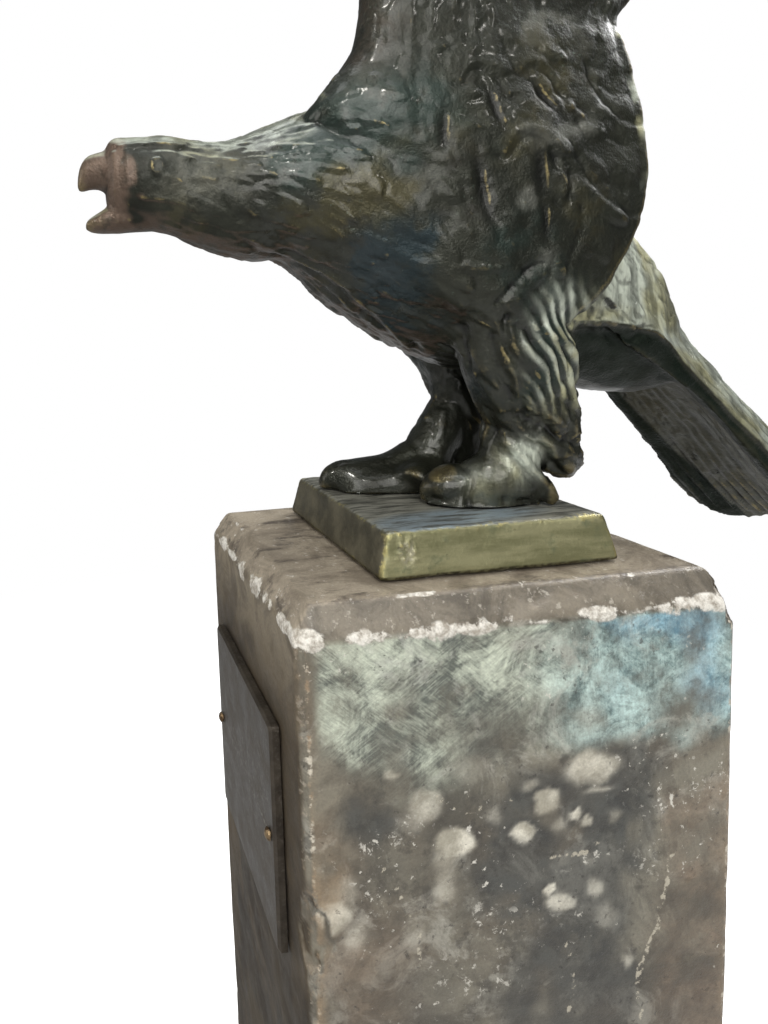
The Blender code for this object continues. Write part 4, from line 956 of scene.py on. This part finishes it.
def build_pillar():
    """A dense skin over the pillar, chipped and worn along its arrises."""
    hx, hy = (PILLAR_HIGH.x - PILLAR_LOW.x) / 2, (PILLAR_HIGH.y - PILLAR_LOW.y) / 2
    low, high = PILLAR_LOW.z, PILLAR_HIGH.z
    tall = high - low
    counts = [int(length / PILLAR_STEP) for length in (2 * hx, 2 * hy, tall)]
    verts, faces = grid_block((hx, hy), low, high, counts)
    mesh = mesh_from("pillar_skin", verts, faces)
    p = np.array(verts)
    co = p - [0, 0, high]
    side_x, side_y = (np.where(co[:, axis] < 0.0, -1.0, 1.0) for axis in (0, 1))
    rim = 1.6 * vnoise(p, 9, 201, 3) + 0.5 * vnoise(p, 2.4, 202)
    chip = np.minimum(0.0, 0.55 * rim + 0.15)

    # each plane cuts off what lies beyond it: (weights along |x|, |y| and z, level, softness, chipping)
    bevel_x, bevel_y = (CHAMFER_DOWN, 0, CHAMFER_IN), (0, CHAMFER_DOWN, CHAMFER_IN)
    both = CHAMFER_IN * CHAMFER_DOWN
    for weights, level, soft, share in (
        (bevel_x, CHAMFER_DOWN * hx - both, 0.5, 0.8), (bevel_y, CHAMFER_DOWN * hy - both, 0.5, 0.8),
        ((1, 1, 0), hx + hy - 2.0, 0.9, 0.35),
        ((1, 0, -1), hx + tall - 0.8, 0.5, 0.3), ((0, 1, -1), hy + tall - 0.8, 0.5, 0.3),
        ((1, 0, 0.42), hx - 2.94, 0.45, 0.25), ((0, 1, 0.42), hy - 2.94, 0.45, 0.25),
        ((0.62, 0, 1), 0.62 * (hx - CHAMFER_IN) - 0.18, 0.45, 0.25),
        ((0, 0.62, 1), 0.62 * (hy - CHAMFER_IN) - 0.18, 0.45, 0.25),
        ((1, 1, 0.9), hx + hy - 9.0, 0.8, 0.5),
    ):
        length = math.hypot(*weights)
        outward = (weights[0] * side_x, weights[1] * side_y, np.full(len(co), weights[2]))
        normal = np.stack(outward, 1) / length
        d = (co * normal).sum(1) - level / length - share * chip
        over = 0.25 / soft * np.clip(d + soft, 0, 2 * soft) ** 2 + np.clip(d - soft, 0, None)
        co = co - normal * over[:, None]
    co[:, 2] += high
    dx, dy = hx - np.abs(co[:, 0]), hy - np.abs(co[:, 1])
    co, no = moved(mesh, co)
    sides = 1.0 - 0.8 * step(p[:, 2], high - 0.5, 0.5)
    pits = np.clip(vnoise(p, 3.1, 210, 2) - 0.75, 0.0, 1.0) * 1.1 * (0.25 + 0.75 * sides)
    hollows = np.clip(vnoise(p, (5, 5, 7), 213, 3) - 0.5, 0, 1) * 0.35
    wave = np.clip(0.12 * vnoise(p, 16, 211, 2), -0.12, 0.12)
    co = co - no * ((pits + hollows + wave + 0.14) * sides)[:, None]
    # flakes knocked off three arrises
    for centre, radius, deep in (
        ((hx, -hy, high - 76.0), 5.5, 1.7), ((-hx, -hy, high - 8.5), 3.2, 1.3),
        ((hx, hy, high - 4.0), 5.0, 1.2),
    ):
        d = np.linalg.norm((p - np.array(centre)) * [1, 1, 0.6], axis=1)
        flake = smooth01((radius * (1 + 0.25 * vnoise(p, 2.5, 220)) - d) / 2.0) * deep * 0.6
        co -= flake[:, None] * [np.sign(centre[0]), np.sign(centre[1]), 0]
    co, no = moved(mesh, co)

    # how near a point is to the worn line under the chamfer, and to each upright arris
    drop, outer = high - co[:, 2], np.minimum(dx, dy)
    lumps = np.clip(0.35 + vnoise(p * [1, 1, 0], 11, 251, 2), 0.0, 1.5)
    corner = bell(dx + dy, 5.0)
    wear = bell(drop - 6.6 - 0.5 * rim, 0.7 + 1.9 * lumps + 1.2 * corner)
    wear *= (outer < 3.4) * (0.45 + 0.7 * lumps + 0.5 * corner)
    wear = np.maximum(wear, 0.9 * corner * step(drop, 9.0, -4.0) * smooth01(0.5 + vnoise(p, 4, 252, 2)))
    top_rim = bell(drop - 0.4, 0.7) * bell(outer - CHAMFER_IN, 0.9)
    wear = np.maximum(wear, 0.7 * top_rim * smooth01(0.2 + 1.2 * vnoise(p, 6, 253, 2)))
    thread = bell(dy - 2.2 - 0.35 * vnoise(p, 4, 254, 2), 0.55) * (dx < 0.9)
    thread *= 0.75 + 0.5 * vnoise(p, 5, 255, 2)
    upright = np.maximum(0.4 * bell(dx + dy - 2.0, 1.6), thread) * (drop > 7.0)
    set_attrs(mesh, wear=wear, upright=upright)
    paint_stone(mesh, co, no, high)
    show("pillar_stone", mesh, stone_material(), "mottled_stone", "stone_pillar")


# Pale lumps on the broad face: (y, depth, half width, half height, brightness).
NODULES = [
    (15.5, 42.6, 7.6, 4.6, 0.75), (17.5, 47.8, 5, 1.8, 0.5), (5, 49.6, 3.9, 3.2, 1),
    (-0.6, 56.4, 3.8, 2.9, 0.85), (-16.6, 57, 4.8, 3.8, 1), (-19, 61, 4.4, 4.8, 0.55),
    (8.2, 55.6, 3, 2.4, 0.45), (12.4, 53, 1.6, 1.6, 0.7), (14.4, 55.2, 1.5, 1.3, 0.7),
    (-7.6, 51, 3.2, 3.4, 0.35), (1.6, 45, 3.4, 2.2, 0.5), (-26, 50, 6, 4.6, 0.35),
    (8.6, 74.6, 3.9, 2.6, 0.6), (5.6, 71.2, 1.7, 1.5, 1), (16.6, 72, 2.4, 3, 0.5), (20, 79, 4.6, 6, 0.3),
    (-19, 68, 3.6, 4.8, 0.45), (21, 55, 3, 2.4, 0.4), (-40, 76, 4.4, 6, 0.4), (25, 92, 2, 2.4, 0.5),
    (-27, 78, 4, 5, 0.3), (-12, 40, 9, 5, 0.25), (-45.6, 71.4, 4.6, 4.4, 0.85), (-42.6, 66, 4.6, 6, 0.4),
    (-19, 65.4, 3.4, 4.4, 0.4), (-22.9, 47.3, 4.6, 5, 0.6), (15.2, 30.9, 6, 5, 0.35),
    (-30.6, 39, 2.4, 1.6, 0.7),
]
# Pale threads on the broad face: (points as (y, depth), half width).
VEINS = [
    ([(37, 64), (34.6, 70), (32.6, 77), (33.4, 82), (30, 88), (27.6, 97), (28.4, 106), (26, 116)], 0.5),
    ([(-34, 58), (-30, 66), (-25, 78), (-26, 90)], 0.3), ([(5, 62), (12, 63), (17, 61.4)], 0.35),
    ([(-22, 44), (-14, 50), (-4, 47.6)], 0.25), ([(9, 84), (12, 92), (11, 104)], 0.3),
]


def paint_stone(mesh, co, no, high):
    """Strengths of the stone's colours, most of them for the broad face alone."""
    p = co - [0, 0, high]
    warp = vnoise3(p, 14, 231, 3)
    wobble = np.stack([vnoise(p, 4, 234, 3), vnoise(p, 4, 235, 3)], 1)
    y, depth = p[:, 1] + 5.0 * warp[:, 1], -p[:, 2] + 5.0 * warp[:, 2]
    at = np.stack([p[:, 1], -p[:, 2]], 1) + 1.3 * wobble

    def blots(*rows):
        """The sum of soft oval spots; each row is (strength, y, depth, half width, half height)."""
        return sum(s * bell(y - cy, ry) * bell(depth - cd, rd) for s, cy, cd, ry, rd in rows)

    below = smooth01((-p[:, 2] - 6.6 - 0.9 * wobble[:, 0]) / 1.2)
    upper = step(depth, 43, -16) * step(p[:, 1], -49.5, 4) * (0.8 + 0.5 * vnoise(p, 9, 241, 3))
    upper = (upper + blots((-0.5, -6, 30, 9, 7), (0.35, -20, 40, 12, 7))) * below
    # painted reflection: a blue sky reflection in the broad face's upper corner
    painted_sky_reflection = below * blots(
        (0.95, 40, 12, 9, 6), (0.6, 24, 10, 12, 4), (0.7, 44, 26, 7, 12), (0.35, 24, 24, 8, 9),
    )
    dark = 0.7 * step(y, -14, 10) * step(y, 33, -10) * step(depth, 36, 10) + blots(
        (0.6, 0, 66, 14, 9), (0.7, 27, 44, 8, 10), (0.7, 14, 84, 9, 24), (0.7, -33, 50, 9, 8),
        (0.5, -12, 62, 6, 9), (0.5, -8, 30, 10, 8), (0.4, -7, 14, 6, 6), (0.5, -26, 92, 8, 10),
        (-0.3, -6, 84, 7, 6),
    )
    stain = 0.9 * step(y, 30, 8) * step(depth, 44, 8) + blots((0.9, -38, 90, 12, 14), (0.5, -44, 60, 5, 20))
    dark, stain = (v * (0.8 + 0.55 * vnoise(p, 7, 243 + k, 3)) for k, v in enumerate((dark, stain)))
    glow, halo, vein = np.zeros((3, len(p)))
    for cy, cd, ry, rd, bright in NODULES:
        u, v = (at[:, 0] - cy) / ry, (at[:, 1] - cd) / rd
        d = np.hypot(u, v)
        # painted shading: each pale lump lighter at its middle and towards its top, as if lit from above
        light = 0.62 + 0.38 * np.clip(1.0 - d * d, 0, 1) - 0.2 * v
        glow = np.maximum(glow, bright * light * step(d, 1.16, -0.5 if bright > 0.55 else -0.95))
        halo = np.maximum(halo, bright * bell(d - 1.16, 0.13))
    for line, wide in VEINS:
        points = np.array(line, float)
        for a, b in zip(points[:-1], points[1:]):
            vein = np.maximum(vein, bell(np.linalg.norm(nearest_on(at, a, b), axis=1), wide))
    tan = step(p[:, 1], -46.5, -3) * (0.25 * step(depth, 9, 10) + 0.75 * step(depth, 52, 12))
    tan += 0.5 * step(p[:, 1], 46, 4) * step(depth, 34, 9) + blots((0.9, -47, 66, 4, 13))
    crumbs = blots(
        (1, 40, 50, 8, 4), (0.7, -35, 57, 7, 5), (0.7, 12, 62, 8, 3), (0.6, -5, 75, 14, 6),
        (0.5, -24, 50, 6, 5), (0.6, -14, 90, 12, 6), (0.7, -38, 70, 4, 5), (0.5, 30, 66, 6, 9),
    )
    flat = step(no[:, 0], 0.85, 0.1)
    named = dict(
        upper=upper, painted_sky_reflection=painted_sky_reflection, dark=dark, stain=stain, glow=glow, halo=halo, vein=vein, tan=tan, crumbs=crumbs,
    )
    set_attrs(mesh, **{name: np.clip(values, 0.0, 1.2) * flat for name, values in named.items()})
    set_attrs(
        mesh, cool=step(y, -2, 24), broad=step(no[:, 0], 0.5, 0.25), front=step(no[:, 1], -0.6, -0.25),
        top=step(no[:, 2], 0.35, 0.2), depth=np.clip(-p[:, 2] / 150.0, 0.0, 1.0),
    )


def stone_material():
    """Mottled stone: each side has its own colours, and the broad one a chalky green top with a painted blue
    reflection of the sky.
    """
    n = Nodes("mottled_stone_look")
    cloud, drift = n.noise(30, 6, 0.62, distortion=1.1), n.noise(64, 6, 0.68, distortion=0.8)
    patchy, mid = n.noise(19, 5, 0.6, distortion=0.7), n.noise(130, 6, 0.68)
    small, grain = n.noise(480, 5, 0.7), n.noise(1700, 3, 0.6)
    depth, cool, front_face, upper = map(n.attr, ("depth", "cool", "front", "upper"))

    def layers(base, *rows):
        """Lays colours over a base; each row is (amount, strength, colour)."""
        for amount, strength, colour in rows:
            base = n.mix(amount * strength, base, colour)
        return base

    plain = n.mix(cloud.ramp(0.36, 0.64), (92, 83, 72), (136, 126, 111))
    plain = n.mix(drift.ramp(0.5, 0.7), plain, (76, 68, 60))
    front = n.mix(cloud.ramp(0.36, 0.62), (51, 42, 31), (75, 64, 47))
    front = n.mix(patchy.ramp(0.48, 0.66), front, (86, 73, 54))
    front = n.mix(n.noise(90, 5, 0.65, n.mapped((1, 1, 0.3))).ramp(0.5, 0.7), front, (50, 44, 37))
    lighter = n.mix(drift.ramp(0.4, 0.6), (104, 94, 79), (142, 131, 112))
    front = n.mix(depth.ramp(0.24, 0.03), front, lighter)
    top = n.mix(drift.ramp(0.36, 0.62), (122, 112, 98), (162, 151, 134))
    top = n.mix(n.noise(170, 6, 0.7, n.combed(0, 3)).ramp(0.5, 0.66), top, (84, 76, 68))
    top = layers(top, (small.ramp(0.6, 0.66), drift.ramp(0.42, 0.56), (206, 200, 190)))
    colour = n.mix(n.attr("top"), n.mix(front_face, plain, front), top)

    # the broad face: its dull stone first
    band = n.mix(drift.ramp(0.36, 0.62), (88, 82, 73), (128, 120, 107))
    band = layers(band, (small.ramp(0.58, 0.66), 0.5, (190, 184, 172)))
    warm = n.mix(mid.ramp(0.4, 0.6), (104, 88, 72), (142, 126, 108))
    coal = n.mix(mid.ramp(0.4, 0.6), (50, 51, 50), (80, 81, 78))
    side = layers(
        n.mix(cloud.ramp(0.38, 0.62), (84, 80, 71), (134, 129, 115)),
        (patchy.ramp(0.5, 0.6), 0.6, (104, 95, 82)),
        (drift.ramp(0.52, 0.64), 0.75, (166, 163, 152)),
        (mid.ramp(0.53, 0.62), 0.6, (70, 66, 60)),
        (n.noise(210, 6, 0.7, n.combed(78, 4)).ramp(0.52, 0.62), 0.35, (66, 62, 56)),
        (n.attr("stain"), drift.ramp(0.36, 0.6, 0.3, 0.85), warm),
        (n.attr("dark").ramp(0.05, 0.75), drift.ramp(0.3, 0.6, 1, 0.72), coal),
        (depth.ramp(0.5, 0.8), 0.35, (72, 64, 55)),
    )
    # then the scratched mint and teal veil over its upper part, turned blue where the sky's reflection is
    # painted
    combs = ((-36, 2400), (40, 2100), (86, 2600))
    streaks = [n.noise(scale, 4, 0.65, n.combed(angle, 13), 0.1) for angle, scale in combs]
    one_way = n.noise(70, 3).ramp(0.42, 0.58)
    scratch = n.mix(cool, n.mix(one_way, streaks[0], streaks[1]), streaks[2])
    scratch = (scratch * 0.6 + small * 0.4).ramp(0.38, 0.64)
    crackle = n.noise(620, 5, 0.72, distortion=0.6).ramp(0.40, 0.56)
    scratch = n.mix(cool * 0.6, scratch, crackle)
    blotch = n.noise(85, 6, 0.7, distortion=0.9).ramp(0.36, 0.64, -0.42, 0.42)
    tone = (scratch * 0.5 + blotch + 0.24).clamped()
    minty = n.mix(tone, (98, 103, 96), (210, 217, 199))
    teal = n.mix(tone, (96, 120, 120), (206, 232, 228))
    blue = n.mix(tone, (98, 146, 168), (190, 232, 248))
    veil = n.mix(n.attr("painted_sky_reflection").ramp(0.2, 0.9), n.mix(cool, minty, teal), blue)
    veil = layers(veil, (drift.ramp(0.54, 0.66), 0.5, (196, 198, 188)))
    side = layers(side, (upper.ramp(0.05, 0.85), (mid + cloud).ramp(0.74, 1.16, 0.35, 1), veil))
    # last the pale lumps with their painted shading, veins, crumbs and pits
    lump = n.mix((drift + mid).ramp(0.8, 1.2), (176, 170, 154), (230, 225, 210))
    vein = (n.attr("vein") * small.ramp(0.42, 0.6, 0.1, 1.3)).ramp(0.3, 0.7)
    speck = small.ramp(0.61, 0.66) * n.noise(44, 3).ramp(0.5, 0.62)
    crumb = n.attr("crumbs").ramp(0.1, 0.7) * n.noise(380, 6, 0.72, distortion=0.35).ramp(0.57, 0.62)
    pit = small.ramp(0.4, 0.34) * drift.ramp(0.42, 0.6)
    side = layers(
        side,
        (n.attr("halo"), mid.ramp(0.4, 0.6, 0.2, 0.7), (58, 54, 50)),
        (n.attr("glow").ramp(0, 0.9), mid.ramp(0.35, 0.6, 0.85, 1), lump),
        (vein, 0.8, (196, 188, 170)),
        (speck.max(crumb), 0.85, (222, 218, 208)),
        (pit, 0.6, (50, 46, 42)),
        (n.attr("tan"), mid.ramp(0.3, 0.6, 0.3, 0.8), (148, 128, 102)),
    )
    colour = n.mix(n.attr("broad"), colour, n.mix(depth.ramp(0.040, 0.047), band, side))

    upright = (n.attr("upright") * small.ramp(0.4, 0.62, 0.2, 1.3)).ramp(0.35, 0.75)
    chalk = (n.attr("wear") * mid.ramp(0.36, 0.62, 0.2, 1.4)).ramp(0.3, 0.6)
    colour = layers(
        colour,
        (upright, 0.85, n.mix(mid.ramp(0.45, 0.6), (150, 130, 106), (214, 206, 190))),
        (chalk, 0.95, n.mix(small.ramp(0.35, 0.6), (170, 162, 150), (232, 228, 220))),
        (grain.ramp(0.35, 0.65), 0.14, (40, 36, 32)),
    )
    height = small * 0.6 + grain * 0.3 + chalk * 0.5 + scratch * upper * 0.5 - pit * 0.6
    rough = chalk * 0.3 + mid.ramp(0.3, 0.7, 0.28, 0.5) + front_face * 0.3
    return n.shade(colour, 0.0, rough, n.bump(height, 0.45, 0.0006), 0.5)


# ------------------------------------------------------------------ plinth

def build_plinth():
    """A battered slab with softened edges, slight dents and one flaw near its front corner."""
    centre = (PLINTH_LOW + PLINTH_HIGH) / 2
    low, high = PLINTH_LOW.z, PLINTH_HIGH.z
    half_low = ((PLINTH_HIGH.x - PLINTH_LOW.x) / 2, (PLINTH_HIGH.y - PLINTH_LOW.y) / 2)
    loops = []
    for (hx, hy), z in ((half_low, low), (PLINTH_TOP_HALF, high)):
        signs = ((1, 1), (-1, 1), (-1, -1), (1, -1))
        loops.append([(centre.x + sx * hx, centre.y + sy * hy, z) for sx, sy in signs])
    slab = mesh_from("plinth_skin", *rings(loops))
    bm = bmesh.new()
    bm.from_mesh(slab)
    bmesh.ops.recalc_face_normals(bm, faces=bm.faces)
    bmesh.ops.bevel(bm, geom=list(bm.edges), offset=1.1, segments=3, profile=0.6, affect="EDGES")
    bm.to_mesh(slab)
    bm.free()
    mesh = voxel_skin(slab, PLINTH_VOXEL, 0)
    pairs = edge_pairs(mesh)
    co, no = arrays(mesh)
    p = relax(co, pairs, 9, 0.5)
    chipped = (centre.x + half_low[0] - 1.0, centre.y - half_low[1] + 7.5, centre.z + 0.6)
    flaw = spot(p, chipped, 3.4, (1, 1.5, 1)) * (no[:, 0] > 0.5)
    dent = 0.18 * vnoise(p, 9, 301, 2) + 0.07 * vnoise(p, 2.2, 302, 2) - 0.12
    dent += flaw * (1.5 * np.abs(vnoise(p, 1.6, 303, 2)) - 0.5)
    co, no = moved(mesh, p + no * np.minimum(dent, 0.25)[:, None])
    # painted sheen: a pale blue reflection on the top in front of the feet
    sheen = 1.1 * spot(p, (24, -12, high), 9, (1.3, 0.6, 1)) + 0.9 * spot(p, (21, 8, high), 7, (1.3, 0.5, 1))
    # the foot band below marks where the material paints a contact shadow
    set_attrs(
        mesh, ridge=proud(co, no, pairs, 24), flaw=flaw, broad=step(no[:, 0], 0.5, 0.3),
        top=step(no[:, 2], 0.6, 0.3), foot=step(p[:, 2], low + 2.0, -1.3),
        sheen=sheen + 0.3 * np.clip(vnoise(p, 12, 305), 0, 1),
    )
    show("plinth_bronze", mesh, plinth_material(), "plinth_bronze", "plinth")


def plinth_material():
    n = Nodes("plinth_bronze_look")
    mid, small = n.noise(120, 5, 0.6), n.noise(700, 5, 0.65)
    brush = n.noise(260, 4, 0.6, n.mapped((1, 0.18, 1)))
    grain = n.noise(700, 5, 0.65, n.mapped((1, 0.12, 1)))
    colour = n.mix(mid.ramp(0.35, 0.65), (82, 79, 66), (112, 107, 90))
    broad = n.mix(brush.ramp(0.35, 0.65), (122, 121, 88), (154, 151, 116))
    broad = n.mix(mid.ramp(0.55, 0.75), broad, (96, 104, 80))
    colour = n.mix(n.attr("broad"), colour, broad)
    top = n.mix(grain.ramp(0.38, 0.6), (86, 86, 79), (156, 155, 144))
    # painted reflection: the top turns pale blue where the sheen is set
    top = n.mix(n.attr("sheen").ramp(0.25, 0.95) * grain.ramp(0.4, 0.6, 0.15, 0.8), top, (150, 168, 180))
    colour = n.mix(n.attr("top"), colour, top)
    colour = n.mix(n.attr("flaw").ramp(0.2, 0.8) * small.ramp(0.4, 0.6), colour, (168, 164, 140))
    worn = (n.attr("ridge") + small * 0.9 - 0.45).ramp(0.2, 0.42)
    colour = n.mix(worn * mid.ramp(0.42, 0.58, 0.2, 0.85), colour, (188, 178, 124))
    # painted shadow: the slab darkened along its foot, where it meets the stone
    painted_contact_shadow = n.attr("foot").ramp(0.3, 0.9) * small.ramp(0.35, 0.6, 0.4, 1)
    colour = n.mix(painted_contact_shadow * 0.85, colour, (38, 36, 30))
    dirt = small.ramp(0.62, 0.72) * mid.ramp(0.45, 0.6)
    colour = n.mix(dirt * 0.5, colour, (48, 46, 38))
    normal = n.bump(small + brush * 0.5, 0.45, 0.0005)
    return n.shade(colour, worn.ramp(0, 1, 0.55, 0.95), mid.ramp(0.3, 0.7, 0.34, 0.5), normal)


# ------------------------------------------------------------------ plaque, pins, pad and hidden fixings

def plaque_material():
    n = Nodes("plaque_look")
    mid, small = n.noise(150, 5, 0.6), n.noise(900, 5, 0.65)
    edge = n.node("NewGeometry", "Pointiness").ramp(0.56, 0.7)
    colour = n.mix(mid.ramp(0.35, 0.65), (58, 52, 45), (76, 69, 60))
    colour = n.mix(edge * small.ramp(0.52, 0.62) * 0.8, colour, (178, 174, 166))
    fleck = small.ramp(0.68, 0.74) * mid.ramp(0.5, 0.6)
    colour = n.mix(fleck * 0.6, colour, (150, 144, 134))
    return n.shade(colour, 0.55, mid.ramp(0.3, 0.7, 0.38, 0.55), n.bump(small + mid, 0.4, 0.0004))


def pin_material():
    n = Nodes("plaque_pin_look")
    mid = n.noise(700, 4, 0.6)
    colour = n.mix(mid.ramp(0.4, 0.6), (92, 74, 54), (140, 120, 92))
    return n.shade(colour, 0.85, mid.ramp(0.3, 0.7, 0.3, 0.5), n.bump(mid, 0.4, 0.0003))


def steel_material():
    n = Nodes("steel_look")
    mid, turned = n.noise(400, 5, 0.6), n.noise(60, 2, 0.5, n.mapped((1, 1, 22)))
    colour = n.mix(mid.ramp(0.4, 0.65), (150, 148, 144), (116, 108, 98))
    return n.shade(colour, 1.0, mid.ramp(0.3, 0.7, 0.3, 0.5), n.bump(mid + turned, 0.4, 0.0003))


def felt_material():
    n = Nodes("felt_look")
    fibre, mid = n.noise(2400, 5, 0.75, distortion=1.5), n.noise(200, 4, 0.6)
    colour = n.mix(fibre.ramp(0.35, 0.65), (32, 48, 38), (62, 80, 66))
    colour = n.mix(mid.ramp(0.5, 0.7), colour, (44, 56, 48))
    return n.shade(colour, 0.0, 0.95, n.bump(fibre, 0.8, 0.0005), 0.15)


def dress(mat, *starts):
    """Gives a material to the frame's nodes whose names start with one of some words."""
    for name, obj in NODES.items():
        if name.startswith(starts):
            for slot in obj.material_slots:
                slot.link = "DATA"
            obj.data.materials.clear()
            obj.data.materials.append(mat)


# ------------------------------------------------------------------ stage, light and camera

def build_stage():
    """A pale floor that fades into the white surround, as on a seamless studio table."""
    n = Nodes("studio_floor")
    n.shade(n.mix(n.noise(3, 2), (241.05,) * 3, (243.45,) * 3), 0.0, 0.9, None, 0.1)
    glow = n.node("Emission", inputs={"Strength": 0.62})
    lit = n.node("AddShader", inputs={0: Signal(n, n.shader.outputs[0]), 1: glow})
    white = n.node("Emission", inputs={"Strength": 1.0})
    away = n.node("VectorMath", "Value", {0: n.coord}, operation="LENGTH")
    fade = n.node("MixShader", inputs={"Fac": away.ramp(0.22, 0.5), 1: lit, 2: white})
    # reflections and bounced light get a dimmer floor than the camera sees
    dim = n.node("BsdfDiffuse", inputs={"Color": (0.45, 0.45, 0.45, 1.0)})
    seen = n.node("MixShader", inputs={"Fac": n.node("LightPath", "Is Camera Ray"), 1: dim, 2: fade})
    n.link(seen, n.tree.nodes["Material Output"].inputs["Surface"])
    corners = [(-4.0, -4.0, 0.0), (4.0, -4.0, 0.0), (4.0, 4.0, 0.0), (-4.0, 4.0, 0.0)]
    floor = linked("studio_floor", mesh_from("studio_floor", corners, [(0, 1, 2, 3)]))
    floor.data.materials.append(n.mat)


def area(name, where, size, power, colour=(1, 1, 1)):
    """A square lamp at a place given from the pillar's top, aimed at the bird."""
    data = bpy.data.lights.new(name, "AREA")
    data.energy, data.color, data.size = power, colour, size
    obj = linked(name, data)
    obj.location = Vector(where) + Vector((0.0, 0.0, TOP * MM))
    obj.rotation_mode = "QUATERNION"
    obj.rotation_quaternion = (Vector((0.0, 0.0, 0.07)) - Vector(where)).to_track_quat("-Z", "Y")


def build_light():
    world = bpy.data.worlds.new("studio")
    bpy.context.scene.world = world
    world.use_nodes = True
    tree = world.node_tree
    # the camera sees white; the object is lit by a dim grey surround
    soft, white = tree.nodes["Background"], tree.nodes.new("ShaderNodeBackground")
    for back, colour, strength in ((soft, (0.82, 0.86, 0.86, 1.0), 0.16), (white, (1.0, 1.0, 1.0, 1.0), 1.0)):
        back.inputs["Color"].default_value = colour
        back.inputs["Strength"].default_value = strength
    path, mix = tree.nodes.new("ShaderNodeLightPath"), tree.nodes.new("ShaderNodeMixShader")
    sockets = (path.outputs["Is Camera Ray"], soft.outputs[0], white.outputs[0])
    for socket, into in zip(sockets, mix.inputs):
        tree.links.new(socket, into)
    tree.links.new(mix.outputs[0], tree.nodes["World Output"].inputs["Surface"])
    area("window", (1.05, -0.25, 0.6), 0.8, 10.6, (1.0, 0.98, 0.95))
    area("ceiling", (0.1, 0.1, 1.35), 1.1, 11.0, (0.97, 0.99, 1.0))
    area("rear", (-0.2, 0.82, 0.73), 0.45, 8.0)
    area("left", (-0.2, -1.0, 0.35), 0.5, 2.1, (1.0, 0.97, 0.92))
    # small lamps that make the wet-looking glints
    lamps = ((0.6, -0.3, 0.75), 1.4), ((0.35, -0.75, 0.6), 1.4), ((0.7, 0.45, 0.6), 0.7)
    for k, (where, power) in enumerate(lamps):
        area("lamp_%d" % k, where, 0.05, power, (1.0, 0.97, 0.9))


def build_camera():
    data = bpy.data.cameras.new("camera")
    cam = linked("camera", data)
    az, el, roll = (math.radians(v) for v in (86.1393, 4.9965, -3.5669))
    back = Vector((math.sin(az) * math.cos(el), -math.cos(az) * math.cos(el), math.sin(el)))
    right = (-back).cross(Vector((0, 0, 1))).normalized()
    up = right.cross(-back)
    rolled_right = math.cos(roll) * right + math.sin(roll) * up
    rolled_up = -math.sin(roll) * right + math.cos(roll) * up
    cam.rotation_mode = "QUATERNION"
    cam.rotation_quaternion = Matrix((rolled_right, rolled_up, back)).transposed().to_quaternion()
    cam.location = (0.16567, -0.09509, TOP * MM + 0.06275)
    data.sensor_width = 36.0
    data.lens = 22.028
    data.clip_start = 0.005
    # The lens is shifted only while the camera stands here: a narrow step along X. Seen from
    # anywhere else the shift is zero, so that the whole object stays in view.
    here = cam.location[0]
    for path, value in (("shift_x", 0.26246), ("shift_y", -0.12457)):
        curve = data.driver_add(path)
        while curve.modifiers:
            curve.modifiers.remove(curve.modifiers[0])
        for x, shift in ((-0.018, 0.0), (-0.006, value), (0.006, value), (0.018, 0.0)):
            curve.keyframe_points.insert(here + x, shift).interpolation = "LINEAR"
        curve.driver.type = "AVERAGE"
        var = curve.driver.variables.new()
        var.type = "SINGLE_PROP"
        var.targets[0].id = cam
        var.targets[0].data_path = "location[0]"
    bpy.context.scene.camera = cam


bpy.context.scene.view_settings.view_transform = "Standard"
build_bird()
build_pillar()
build_plinth()
dress(plaque_material(), "plaque")
dress(pin_material(), "plaque_pin")
dress(felt_material(), "felt_pad")
dress(steel_material(), "wing_dowel", "foot_stud", "foot_nut", "centre_", "washer")
build_stage()
build_light()
build_camera()
